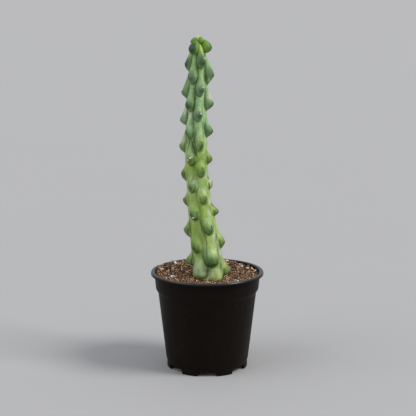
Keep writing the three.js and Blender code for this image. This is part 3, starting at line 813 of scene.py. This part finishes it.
def addTubercles(turn, height, radius, plain):
    # The tubercles' rises r as (sum of r^p)^(1 / p), the masks of their dark tips and of the painted shade line round
    # their edges, and their wrinkles
    blend = lerp(*cactus["blend"], smoothStep(height, *cactus["smoothStem"]))
    dark, edge, wrinkle = cactus["darkTip"], cactus["edge"], cactus["wrinkle"]
    wander, length = cactus["unevenLines"]
    uneven = wander * softNoise(plain, length, 11)
    brokenSize, none, full = cactus["brokenLines"]
    broken = smoothStep(softNoise(plain, brokenSize, 12), none, full)
    total, tips, edges, wrinkles = 0, 0, 0, 0
    for one in listTubercles():
        rise, arc, above = tubercleRise(one, turn, height, radius)
        total = total + rise ** blend
        # The dark tip lies round the areole when young, and on the knob's underside when old, where it is partly
        # painted shade
        middle = lerp(*dark["middle"], one["fresh"]) + dark["footMiddle"] * one["wide"]
        size = lerp(*dark["size"], one["fresh"]) + dark["footSize"] * one["wide"]
        away = np.hypot(arc / (dark["breadth"] * one["knob"]), (above - middle) / size)
        tips = np.maximum(tips, one["dark"] * np.exp(-dark["fade"] * away ** 3))
        out = np.hypot(arc / one["knob"], above / one["lower"]) + uneven
        edges = np.maximum(edges, bell(out - edge["out"], edge["width"]) * (1 - smoothStep(above, *edge["end"])))
        beside = smoothStep(np.abs(arc) / one["knob"], *wrinkle["side"]) * (1 - smoothStep(above, *wrinkle["end"]))
        beside = beside * between(one["tip"], wrinkle["low"], wrinkle["high"], wrinkle["fade"])
        wrinkles = wrinkles + beside * broken * sum(bell(out - at, wrinkle["width"]) for at in wrinkle["out"])
    masks = {"tip": tips, "edge": edges * lerp(edge["faint"], 1, broken)}
    return total ** (1 / blend), masks, wrinkle["depth"] * wrinkles


def shadeUnderAreoles(turn, height, radius):
    # Painted shade under each areole, by a bell across times a bell down, and dark along the streaks
    width, tall, drop, share = cactus["smudge"]
    away = np.inf
    for padTurn, padHeight, _ in listAreoles():
        arc = arcBetween(padTurn, turn, radius + cactus["padsLie"])
        away = np.minimum(away, np.hypot(arc / width, (height - padHeight + drop) / tall))
    streaks = nearSpots(cactus["streaks"], turn, height, radius + cactus["padsLie"])
    return np.maximum(share * bell(away, 1), bell(streaks, 1))


def growSkin():
    # The skin's points and masks on a grid of heights and turns: out from the stem's curved axis by its radius,
    # the ribs, the tubercles, the lumps and the foot, less the furrows and wrinkles. A rib falls to the valley
    # beside it with the squared sine of the turn between, times half the ribs' number.
    above = np.linspace(cactus["buriedTop"], cactus["skinTop"], cactus["rows"])
    height, turn = np.broadcast_arrays(np.concatenate([cactus["buriedRows"], above])[:, None],
                                       turnsRound(cactus["columns"])[None])
    x, y, radius = stemAt(height)
    place = turn, height, radius
    plain = outward(turn) * radius[..., None] + np.stack([x, y, height], axis=-1)
    grown = smoothStep(height, cactus["buriedTop"], cactus["ribsFull"])
    toRib = np.min([np.abs(turnBetween(rib[0], turn)) for rib in cactus["ribs"]], axis=0)
    valley = lerp(cactus["oldValley"], 1, smoothStep(height, *cactus["smoothStem"]))
    ribWave = np.sin(np.radians(len(cactus["ribs"]) / 2 * toRib)) ** 2
    ribs = cactus["ribRelief"] * (0.5 - valley * ribWave) * grown
    tubercles, masks, wrinkles = addTubercles(*place, plain)
    lumps = grown * sum(high * softNoise(plain * [1, 1, stretch], size, seed)
                        for high, size, stretch, seed in cactus["lumps"])
    foot = sum(reach * bell(turnBetween(at, turn), width) * (1 - smoothStep(height, full, gone))
               for at, reach, width, full, gone in cactus["flares"])
    scars = 1 - smoothStep(nearSpots(cactus["scars"], *place), *cactus["scarEdge"])
    rise = ribs + tubercles + foot + lumps - carved(cactus["furrows"], *place) + cactus["scarHeight"] * scars
    rise = np.where(height > cactus["buriedTop"], rise, 0) * np.minimum(1, radius / cactus["crownTaper"])
    means = cactus["softening"]
    lines = blurred(carved(cactus["creases"], *place) + wrinkles, *means["line"])
    smooth = blurred(rise, *means["form"])
    soft = smooth - lines
    points = outward(turn) * (radius + soft)[..., None]
    points = points + np.stack([x, y, height - cactus["droop"] * np.maximum(soft, 0)], axis=-1)
    # A mask of depth is the skin's distance below its own running mean, over the depth at which it is full
    full = cactus["fullDepths"]
    # The crease mask is painted shade in the hollows and along the carved lines
    creases = blurred(np.clip((smooth - rise) / full["crease"], 0, 1), *means["crease"])
    masks["crease"] = np.maximum(creases, np.clip(lines / full["line"], 0, 1))
    masks["valley"] = np.clip((blurred(rise, *means["valley"]) - rise) / full["valley"], -1, 1)
    masks["smudge"] = shadeUnderAreoles(*place)
    masks["scar"] = scars
    for key in ("frost", "deep", "cool"):
        masks[key] = bell(nearSpots(cactus[key], *place), 1)
    shootFrom, shootFull, share = cactus["shoot"]
    masks["sprout"] = smoothStep(height, *cactus["sprout"])
    masks["shoot"] = share * smoothStep(height, shootFrom, shootFull)
    masks["bud"] = 0 * height
    return points, masks


def gridNormals(points):
    # The cross product of the steps to the neighbours round and up
    around = np.roll(points, -1, axis=1) - np.roll(points, 1, axis=1)
    upward = np.gradient(points, axis=0)
    return unit(np.cross(around, upward))


def onSkin(points, turn, height):
    # The grid's point and normal that lie nearest to a turn and a height
    rowStep = (cactus["skinTop"] - cactus["buriedTop"]) / (cactus["rows"] - 1)
    row = np.rint((height - cactus["buriedTop"]) / rowStep).astype(int) + len(cactus["buriedRows"])
    column = np.rint(turn * cactus["columns"] / 360).astype(int) % cactus["columns"]
    row = np.clip(row, 0, len(points) - 1)
    return points[row, column], gridNormals(points)[row, column]


crown = {
    "rows": 22,
    "columns": 32,
    "pole": 0.12,  # how far the rows stop short of the poles, in radians
    # turn and distance from the tip's axis, height of the middle, half width, half height, how far its top and
    # its foot lean in, and how dark its outer side is
    "buds": [
        (46, 4.2, 330.9, 2.7, 3.4, 1.0, 0, 0), (-92, 4.6, 330.2, 2.9, 3.5, 1.5, 0, 0),
        (150, 4.5, 330.0, 2.9, 3.7, 1.2, 0, 0), (84, 8.7, 325.1, 5.2, 6.8, 2.9, 1.3, 0.45),
        (-37, 7.1, 323.8, 5.0, 7.4, 4.4, 0.6, 1), (204, 7.5, 323.6, 5.0, 7.1, 4.4, 1.2, 0.8),
    ],
    "shoot": (0, 0, 332.0, 1.5, 3.4, 0, 0, 0),
    "pear": 0.14,  # how much slimmer a bud is at its top, and fuller at its foot
    "leanFrom": -0.2,  # where on the axis the lean begins, from -1 at the foot to 1 at the top
    "leanPower": 1.5,
    "tuckPower": 2,
    "darkSide": (0.1, 0.8),  # how far a point faces outwards where the dark begins and is full
    "darkEnds": (0.45, 1.05),  # how far from the middle it begins to fade and has gone
    "darkMiddle": -0.1,
}


def growBud(turn, out, middle, width, tall, lean, tuck, darkness):
    # A pear: a ball whose half width is smaller above, and whose axis leans in towards the stem's axis by a
    # power of the height above leanFrom, and by another of the depth below the middle
    x, y, _ = stemAt(cactus["stemTop"])
    ball = unitBall(crown["rows"], crown["columns"], crown["pole"])
    up, side = ball[..., 2:], outward(turn)
    leaning = lean * np.clip(up - crown["leanFrom"], 0, None) ** crown["leanPower"]
    leaning = leaning + tuck * np.clip(-up, 0, None) ** crown["tuckPower"]
    points = ball * np.where([True, True, False], width * (1 - crown["pear"] * up), tall)
    points = points + side * (out - leaning) + [x, y, middle]
    dark = smoothStep(ball @ side, *crown["darkSide"])
    dark = darkness * dark * (1 - smoothStep(np.abs(up[..., 0] - crown["darkMiddle"]), *crown["darkEnds"]))
    return points, dark


skin = {
    # Colour codes. Two are for below and above on the stem, unless a note says otherwise.
    "base": ("95b548", "86b282"),
    "pale": ("c6d97a", "b6da90"),  # in the valleys and in upright streaks
    "patches": ("668a30", "93ad60"),  # deep green and greyish green
    "sprout": "97c05a",
    "bud": ("4a7c12", "6f9e24"),  # both, in patches
    "shoot": "d9e070",
    "deep": "74991c",
    # whitish bloom, and painted highlight on the lit right flank
    "bloomAndSheenColour": "c4d4b2",
    "mottle": ("557a30", "b2d06e"),  # dark and pale
    # the tip's dark is partly painted shade on the old knobs' undersides
    "tip": ("3a6206", "1b4028"),
    # painted shade under the areoles
    "smudge": ("38540c", "26431c"),
    # painted shade in the creases and round the knobs' undersides
    "crease": ("2f4c0e", "2a4c28"),
    "scar": "c69a72",
}


def skinFinish():
    # Two greens that meet half way up the stem, with the masks' colours laid over them one by one
    finish = Finish("waxy skin", 0.48)
    height = finish.node("ShaderNodeSeparateXYZ", {0: finish.place}).outputs["Z"]
    patches = finish.noise(11, 3, 0.55)
    mottle = finish.noise(1.6)
    # Yellow green below and blue green above, with an uneven border
    border = finish.math("ADD", height, finish.remap(patches, 0.2, 0.8, -0.012, 0.012))
    cool = finish.math("MULTIPLY", finish.mask("cool"), 0.8)
    upper = finish.math("MAXIMUM", finish.remap(border, 0.205, 0.250), cool)
    finish.set("Base Color", finish.mix(upper, *skin["base"]))
    # Paler in the valleys and in upright streaks
    pale = finish.mix(upper, *skin["pale"])
    finish.lay(pale, finish.remap(finish.mask("valley"), 0.0, 0.7), finish.remap(upper, 0, 1, 0.25, 0.8))
    finish.lay(pale, finish.remap(finish.noise(3.2, 3, 0.13), 0.48, 0.66), 0.6)
    # Patches of deep and of greyish green
    deepGreen, greyGreen = skin["patches"]
    finish.lay(deepGreen, finish.remap(patches, 0.5, 0.64), 0.5)
    finish.lay(greyGreen, finish.remap(finish.noise(8, 3, 0.6), 0.50, 0.62), 0.45)
    # Young green at the crown
    finish.lay(skin["sprout"], "sprout", 0.75)
    finish.lay(finish.mix(patches, *skin["bud"]), "bud")
    finish.lay(skin["shoot"], "shoot")
    finish.lay(skin["deep"], "deep", 0.75)
    # Pale waxy bloom, most of it low on the stem and little on the dark tips, with painted highlight in the patches
    # on the lit right flank
    bare = finish.remap(finish.mask("tip"), 0, 0.8, 0.8, 0.1)
    low = finish.math("MULTIPLY", finish.remap(height, 0.098, 0.150, 0.48, 0.08), bare)
    bloomAndSheen = finish.math("MAXIMUM", finish.mask("frost"), low)
    finish.lay(skin["bloomAndSheenColour"], bloomAndSheen, finish.remap(finish.noise(4.5, 4, 0.4), 0.38, 0.58))
    # Fine mottling, dark and pale
    darkFleck, paleFleck = skin["mottle"]
    finish.lay(darkFleck, finish.remap(mottle, 0.40, 0.66), 0.26)
    fleck = finish.remap(finish.noise(1.5, 2, 0.6), 0.50, 0.74)
    finish.lay(paleFleck, fleck, finish.remap(upper, 0, 1, 0.24, 0.06))
    # Darker at the tubercles' tips, partly painted shade on the old knobs' undersides, with painted shade under the
    # areoles, round the knobs' undersides and in the creases
    creaseShadeColour = finish.mix(upper, *skin["crease"])
    finish.lay(finish.mix(upper, *skin["tip"]), "tip", 0.9)
    finish.lay(finish.mix(upper, *skin["smudge"]), "smudge")
    finish.lay(creaseShadeColour, "edge", 0.8)
    finish.lay(creaseShadeColour, "crease", 0.85)
    finish.lay(skin["scar"], "scar", 0.85)
    finish.set("Roughness", finish.remap(mottle, 0.2, 0.8, 0.42, 0.58))
    finish.bump(finish.noise(0.8), 0.06, 0.35)
    finish.bump(finish.noise(2.6, 2, 0.25), 0.5, 0.5)
    finish.bump(finish.noise(1.3, 1, 0.14), 0.25, 0.4)
    finish.set("Subsurface Weight", 0.12)
    finish.set("Subsurface Radius", (1.0, 1.4, 0.5))
    finish.set("Subsurface Scale", 0.002)
    return finish.material


def makeSkin(points, masks):
    # The grid's skin with the buds and the shoot grown into its top. The shoot is the last, and the palest.
    parts = [closedTube(points)]
    masks = {key: [withEnds(values)] for key, values in masks.items()}
    for bud in crown["buds"] + [crown["shoot"]]:
        grown, dark = growBud(*bud)
        parts.append(closedTube(grown))
        own = {"tip": dark, "bud": 1, "shoot": float(bud == crown["shoot"])}
        for key in masks:
            masks[key].append(withEnds(own.get(key, 0) + 0 * dark))
    masks = {key: np.concatenate(values) for key, values in masks.items()}
    addPiece("cactus_skin", joined(parts), skinFinish(), ["cactus"], masks=masks)


# Areoles: a pad of felt and a few short spines above each tubercle's tip

areoles = {
    "lift": 1.6,  # above the tip
    "size": (1.1, 1.0, 0.5),  # half width, half height, how far the felt stands out
    "grid": (7, 12, 0.3),  # the felt's rows and columns, and how far they stop short of the poles in radians
    "lumps": (0.25, 0.6),  # the felt's lumps: how high in pads, and how wide
    "uneven": 0.2,  # how much the pads' sizes differ by chance
    "tints": ["c9b8ae", "b7aca4", "d8cfc2", "a08c80", "8a7a6e"],
    "feltShade": "6f6158",
    "spineTints": ("6b5644", "b79c74"),
    # Where the photo shows them: the rib's turn and the tip's height, then turn, height and tint of each pad
    "seen": {
        (-37, 269): [(-40, 271, "43443f")], (-37, 296): [(-46, 299, "6a6f66")],
        (-37, 215): [(-16, 217.7, "f2c4a8"), (-22.7, 217.1, "dfe6e4"), (-29.8, 215, "f2bfa2")],
        (-37, 188): [(-31, 188, "5a5247")], (-37, 160): [(-35, 161, "5a5046"), (-28, 157.5, "f0ece6")],
        (-37, 127): [(-37, 128, "5c554b")], (-37, 100.5): [(-48, 94.6, "5a4c42")],
        (-37, 242): [(-37, 243.6, "56602f")], (23, 311): [(31, 314.5, "f0cfc6")],
        (23, 284): [(23, 286.5, "e6c3b8")], (23, 259.5): [(19, 261, "f0ece6")],
        (23, 230): [(23, 234.5, "fae478")], (23, 203.5): [(24, 207, "5d6a62")],
        (23, 175.5): [(26, 178, "6c6a60")], (23, 145.5): [(31, 148.5, "4a3c34")],
        (23, 112): [(30, 114, "5a4a42")], (84, 243): [(86, 247, "dccf78")], (84, 130.5): [(80, 132, "c9927c")],
    },
    "spines": 2,
    "spineLength": (0.6, 1.0),
    "spineLean": (0.7, 0.42),  # sideways and up, as a spread
    "spineRadius": 0.13,
    "spineRows": [0, 0.5, 0.98],  # along the length, with the girth at each
    "spineGirth": [1, 0.7, 0.1],
    "spineCorners": 6,
}


def frameAt(normal):
    # A turn matrix whose columns point sideways, up the surface and out of it
    side = unit(np.cross([0, 0, 1.0], normal))
    return np.stack([side, np.cross(normal, side), normal], axis=-1)


def listAreoles():
    # turn, height and tint of each pad
    draw = np.random.default_rng(21)
    found = []
    for turn, tips, _, sways in cactus["ribs"]:
        for tip, sway in zip(tips, sways):
            tint = areoles["tints"][draw.integers(len(areoles["tints"]))]
            found += areoles["seen"].get((turn, tip), [(turn + sway, tip + areoles["lift"], tint)])
    return found


def feltFinish():
    # Each pad's own tint, darker in fine grains
    finish = Finish("areole felt", 0.95)
    shade = finish.remap(finish.noise(0.5, 1), 0.4, 0.8, 0.0, 0.6)
    finish.set("Base Color", finish.mix(shade, finish.tint(), areoles["feltShade"], "MULTIPLY"))
    finish.set("Sheen Weight", 0.4)
    finish.bump(finish.noise(0.25, 1), 0.1, 0.8)
    return finish.material


def makeAreoles(skinPoints):
    # Pads and spines that stand on the skin along its normals
    draw = np.random.default_rng(22)
    padTurns, padHeights, padTints = zip(*listAreoles())
    place, normal = onSkin(skinPoints, np.array(padTurns), np.array(padHeights))
    turns = frameAt(normal)
    # A pad is a flattened ball with a lumpy surface
    shape = closedTube(lumpy(unitBall(*areoles["grid"]), *areoles["lumps"], 8))
    sizes = nearOne(draw, (len(place), 1), areoles["uneven"]) * areoles["size"]
    tints = [linear(tint) for tint in padTints]
    addPiece("areole_felt", copies(shape, place, turns, sizes), feltFinish(), tints=tints)
    # A spine is a slim cone that leans a random way from the skin's normal
    count = areoles["spines"]
    girth = areoles["spineRadius"] * np.array(areoles["spineGirth"])
    cone = outward(turnsRound(areoles["spineCorners"])) * girth[:, None, None]
    cone[..., 2] = np.array(areoles["spineRows"])[:, None]
    lean = np.array(areoles["spineLean"]) * draw.normal(0, 1, (len(place), count, 2))
    aim = unit(normal[:, None] + np.einsum("nij,nkj->nki", turns[..., :2], lean)).reshape(-1, 3)
    low, high = areoles["spineLength"]
    length = lerp(low, high, draw.random(len(aim)))
    sizes = np.stack([np.ones(len(aim)), np.ones(len(aim)), length], axis=-1)
    finish = Finish("spines", 0.5)
    finish.set("Base Color", finish.mix(finish.noise(1.2, 1), *areoles["spineTints"]))
    spines = copies(closedTube(cone), np.repeat(place, count, axis=0), frameAt(aim), sizes)
    addPiece("spines", spines, finish.material)


# The potting mix

mix = {
    "level": 94.4,
    "heap": 1.6,
    # Heaps against the wall: turn, width in degrees, how much higher
    "heaps": [(180, 62, 1.7), (-95, 48, 1.3)],
    "nearWall": (20, 50),  # distances from the pot's axis between which they rise
    "dip": (4, -24, 15, 2.0),  # a hollow before the stem: x, y, radius, depth
    "tiltBack": 1.5,
    "tiltLeft": 1.0,
    "rings": 90,
    "columns": 220,
    "crumbs": [(4.6, 0.9, 1), (2.1, 0.72, 2), (1.1, 0.36, 5)],  # size, height and seed of the surface's noise
    "bedTints": ("20150f", "604433"),
    "grainTint": "3a2a20",  # on the loose pieces
    "gap": 0.3,
    "reach": 51.4,  # the loose pieces lie within this distance of the pot's axis
    "stemGap": 1.0,
    # A piece's size from and to, its proportions, how high it lies in sizes, how far it leans in radians, how
    # finely it is made, how square it is, and its tints with their shares
    "usual": {"lean": 3.1, "rows": 3, "square": 0.2},
    "pieces": {
        "bark_chips": {
            "count": 700, "size": (1.6, 3.8), "box": (1.0, 0.6, 0.42), "lift": 0.30, "lean": 1.2, "rows": 4,
            "square": 0.4, "tints": {"5f4432": 0.24, "946e54": 0.30, "c0966f": 0.22, "33241c": 0.12, "eaca9f": 0.12}},
        "bark_bits": {
            "count": 3900, "size": (0.8, 1.9), "box": (1.0, 0.7, 0.55), "lift": 0.40,
            "tints": {"5c4130": 0.24, "8f6a52": 0.28, "bd9370": 0.22, "2c1e18": 0.12, "efd0aa": 0.14}},
        "bark_fines": {
            "count": 3600, "size": (0.4, 0.9), "box": (1.0, 0.8, 0.6), "lift": 0.30,
            "tints": {"3c2a22": 0.24, "70523f": 0.28, "ab8263": 0.28, "dfba92": 0.20}},
        "white_grains": {
            "count": 110, "size": (0.6, 1.3), "box": (1.0, 0.9, 0.8), "lift": 0.5,
            "tints": {"f0e9da": 0.6, "d9cdb8": 0.4}},
    },
    "shapes": 5,  # in which each kind comes
    "deepest": 0.7,  # how far below the surface a piece may lie, of the 2 lifts between the lowest and the highest
    "chipColumns": 6,
    "chipPole": 0.35,  # how far the rows stop short of the poles, in radians
    "uneven": 0.25,  # how much sizes and tints differ by chance
    "lumps": (0.3, 0.8),  # their lumps: how high, and how wide, in half sizes
    "smallest": 1.6,  # the power that makes small pieces the most common
    "clumps": (5.0, 0.6),  # darker and lighter clumps of the loose pieces: their size, and how much they differ
    "sharpAngle": 50,
    # White grains where the photo shows them: x, y, size
    "seenGrains": [(-49, 13, 1.9), (-34.1, 36.5, 2.2), (-32.6, 31.2, 1.8), (-26.3, 11.9, 1.8),
                   (-26.2, 16.3, 1.6), (-16.1, 7, 1.8), (-16.4, 35.4, 2.0), (-10.4, -27.2, 1.7), (41.1, 20, 1.9),
                   (33.1, 24, 1.7), (49.7, 10, 2.0)],
    "seenLift": 0.4,
    "fibres": {"count": 80, "length": (3, 7), "radius": (0.1, 0.2), "lift": 0.6, "turning": 2.0, "arch": 0.15,
               "leastTurning": 0.01, "overRim": 0.1, "steps": 9, "corners": 4,
               "tints": ["8a6a4e", "b8946c", "dcc09a", "5a4232"],
               # Those that cross the rim: x, y, heading in radians, length
               "seen": [(-33, 36, 2.9, 8), (-24, 43, 3.3, 6), (-16, -49, -1.9, 6)]},
}


def mixSurface(x, y):
    # A shallow bowl that rises to the pot's wall, more so in the heaps, with a hollow in front of the stem
    rim = pot["bandRadius"]
    turn = np.degrees(np.arctan2(x, -y))
    bowl = mix["level"] + mix["heap"] * (x * x + y * y) / rim ** 2
    tilted = bowl + (mix["tiltBack"] * y - mix["tiltLeft"] * x) / rim
    heaps = sum(rise * bell(turnBetween(at, turn), width) for at, width, rise in mix["heaps"])
    dipX, dipY, dipRadius, depth = mix["dip"]
    dip = depth * bell(np.hypot(x - dipX, y - dipY), dipRadius)
    return tilted + heaps * smoothStep(np.hypot(x, y), *mix["nearWall"]) - dip


def crumbled(x, y):
    # The surface with its crumbs: a sum of soft noises from coarse to fine
    place = np.stack([x, y, np.zeros_like(x)], axis=-1)
    return mixSurface(x, y) + sum(high * softNoise(place, size, seed) for size, high, seed in mix["crumbs"])


def mixFinish(name, tinted=True):
    # Fine grains over the pieces' own tints, or over the bed's two browns
    finish = Finish(name, 0.95)
    grain = finish.noise(0.5)
    if tinted:
        colour = finish.mix(finish.remap(grain, 0.35, 0.75, 0.0, 0.35), finish.tint(), mix["grainTint"])
    else:
        colour = finish.mix(finish.remap(finish.noise(1.5, 3), 0.38, 0.64), *mix["bedTints"])
    finish.set("Base Color", colour)
    finish.bump(grain, 0.25, 0.8)
    return finish.material


def makeMixBed():
    # A lathe of the pot's inner side, whose top is a grid of rings that follow the crumbled surface
    gap, wall, floor = mix["gap"], pot["wall"], pot["floor"] + mix["gap"]
    gutter, gutterHeight = pot["gutter"]
    (body, bodyHeight), (band, bandHeight) = pot["body"], pot["bandFoot"]
    side = np.array([
        (pot["middle"], pot["padHeight"] + floor),
        (gutter - floor, pot["padHeight"] + floor),
        (gutter - gap, gutterHeight + floor),
        (pot["footRadius"] - wall - 2 * gap, gutterHeight + floor),
        (pot["footRadius"] + pot["footLedge"][0] - wall - 2 * gap, pot["footHeight"] + gap),
        (body - wall - gap, bodyHeight),
        (band - wall - gap, bandHeight),
    ])
    top = np.linspace(pot["bandRadius"] - wall - 2 * gap, pot["middle"], mix["rings"])
    radius = np.concatenate([side[:, 0], top])
    points = radius[:, None, None] * outward(turnsRound(mix["columns"]))
    points[:len(side), :, 2] = side[:, 1:]
    x, y, _ = np.moveaxis(points[len(side):], -1, 0)
    points[len(side):, :, 2] = crumbled(x, y)
    addPiece("potting_mix_bed", closedTube(points), mixFinish("fine bark mix", False), ["potting_mix"])


def lumpyChip(rows, columns, seed, square):
    # A lumpy ball, squared off a little so that it has flatter sides
    ball = unitBall(rows, columns, mix["chipPole"])
    boxy = ball / np.abs(ball).max(axis=-1, keepdims=True)
    return closedTube(lumpy(lerp(ball, boxy, square), *mix["lumps"], seed))


def scatter(draw, count):
    # Even places over the disc, clear of the stem's foot: the distance is the root of an even number
    footX, footY, footRadius = stemAt(mix["level"])
    places = np.zeros((0, 2))
    while len(places) < count:
        distance = mix["reach"] * np.sqrt(draw.random(count))
        found = outward(360 * draw.random(count))[:, :2] * distance[:, None]
        clear = np.hypot(found[:, 0] - footX, found[:, 1] - footY) > footRadius + mix["stemGap"]
        places = np.concatenate([places, found[clear]])
    return places[:count]


def makeLoosePieces():
    # Each piece is a lumpy chip of a drawn size, proportions, lean and tint, laid on the crumbled surface
    for index, (name, own) in enumerate(mix["pieces"].items()):
        kind = {**mix["usual"], **own}
        draw = np.random.default_rng(40 + index)
        isPumice = name == "white_grains"
        number = kind["count"] // mix["shapes"]
        codes, shares = zip(*kind["tints"].items())
        parts, tints = [], []
        for seed in range(60, 60 + mix["shapes"]):
            shape = lumpyChip(kind["rows"], mix["chipColumns"], seed, kind["square"])
            x, y = scatter(draw, number).T
            size = lerp(*kind["size"], draw.random(number) ** mix["smallest"])
            z = crumbled(x, y) + kind["lift"] * size * (2 * draw.random(number) - mix["deepest"])
            place = np.stack([x, y, z], axis=1)
            sizes = 0.5 * size[:, None] * kind["box"] * nearOne(draw, (number, 3), mix["uneven"])
            parts.append(copies(shape, place, randomTurns(draw, number, kind["lean"]), sizes))
            tint = np.array([linear(code) for code in codes])[draw.choice(len(codes), number, p=shares)]
            tint = tint * nearOne(draw, (number, 1), mix["uneven"])
            if not isPumice:
                clumpSize, contrast = mix["clumps"]
                tint = tint * (1 + contrast * softNoise(place, clumpSize, 9))[:, None]
            tints.append(tint)
        if isPumice:
            x, y, size = np.array(mix["seenGrains"]).T
            place = np.stack([x, y, crumbled(x, y) + mix["seenLift"] * size], axis=1)
            parts.append(copies(shape, place, randomTurns(draw, len(place)), 0.5 * size[:, None] * kind["box"]))
            tints.append(np.ones_like(place))
        finish = pumiceFinish() if isPumice else mixFinish(name.replace("_", " "))
        addPiece(name, joined(parts), finish, tints=np.concatenate(tints),
                 sharpAngle=mix["sharpAngle"])


def makeFibres():
    # A strand's heading turns evenly along its length while it arches up and back down; its points are the sums
    # of that heading's cosines and sines, with a slim ring about each
    fibres = mix["fibres"]
    draw = np.random.default_rng(50)
    count, seen = fibres["count"], np.array(fibres["seen"])
    total = count + len(seen)
    x, y = np.concatenate([scatter(draw, count), seen[:, :2]]).T
    heading = np.concatenate([2 * np.pi * draw.random(count), seen[:, 2]])
    length = np.concatenate([lerp(*fibres["length"], draw.random(count)), seen[:, 3]])
    turning = fibres["turning"] * (2 * draw.random(total) - 1) + fibres["leastTurning"]
    radius = lerp(*fibres["radius"], draw.random(total))
    arch = 4 * fibres["arch"] * draw.random(total) * length
    x, y, heading, length, turning, radius, arch = (
        values[:, None] for values in (x, y, heading, length, turning, radius, arch))
    steps = np.linspace(0, 1, fibres["steps"])[:, None, None]
    strand, quads, fans = closedTube(outward(turnsRound(fibres["corners"])) + np.array([0, 0, 1.0]) * steps)
    aside, over, along = strand.T
    turned = heading + turning * along
    x = x + length / turning * (np.sin(turned) - np.sin(heading))
    y = y - length / turning * (np.cos(turned) - np.cos(heading))
    inside = np.minimum(1, mix["reach"] / np.hypot(x, y))
    z = crumbled(x * inside, y * inside)[:, :1] + fibres["lift"] + arch * along * (1 - along)
    overRim = np.hypot(x, y) > pot["bandRadius"] - 2 * pot["wall"]
    z = np.where(overRim, np.maximum(z, pot["height"] + fibres["overRim"]), z)
    points = np.stack([x - radius * aside * np.sin(turned), y + radius * aside * np.cos(turned), z + radius * over],
                      axis=-1)
    tints = np.array([linear(code) for code in fibres["tints"]])[draw.integers(len(fibres["tints"]), size=total)]
    addPiece("fibres", repeated(points, quads, fans), mixFinish("coir fibres"), tints=tints)


# Pumice stones

stones = {
    "count": 12,
    "rows": 20,
    "columns": 28,
    "scale": (0.37, 0.37, 0.444),  # half sizes of a stone in its box
    "square": 0.05,
    "tints": ("e6dccb", "fffef8"),  # in the pits and on the rest
    "sunk": 0.6,  # how high its middle lies over the mix, in half heights
    "leaning": {1: (-2.4, 1.4, 1.2)},  # the first leans on the rim, so it is moved by this much
}


def pumiceFinish():
    # Nearly white, a little darker in the pits
    finish = Finish("pale pumice", 0.9)
    pits = finish.noise(0.7, 3)
    finish.set("Base Color", finish.mix(finish.remap(pits, 0.3, 0.5), *stones["tints"]))
    finish.bump(pits, 0.25, 0.6)
    return finish.material


def makeStones():
    # A lumpy chip in the box of each packed stone, part sunk in the mix
    finish = pumiceFinish()
    for number in range(1, stones["count"] + 1):
        low, high = (np.array(corner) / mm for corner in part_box(f"pumice_{number}"))
        sizes = (high - low) * stones["scale"]
        x, y, _ = 0.5 * (low + high)
        place = np.array([x, y, mixSurface(x, y) + stones["sunk"] * sizes[2]]) + stones["leaning"].get(number, 0)
        shape = lumpyChip(stones["rows"], stones["columns"], 79 + number, stones["square"])
        stone = copies(shape, place[None], np.eye(3)[None], sizes[None])
        addPiece(f"pumice_stone_{number}", stone, finish, [f"pumice_{number}"])


makeView()
makeStudio()
makePot()
skinPoints, skinMasks = growSkin()
makeSkin(skinPoints, skinMasks)
makeAreoles(skinPoints)
makeMixBed()
makeLoosePieces()
makeFibres()
makeStones()
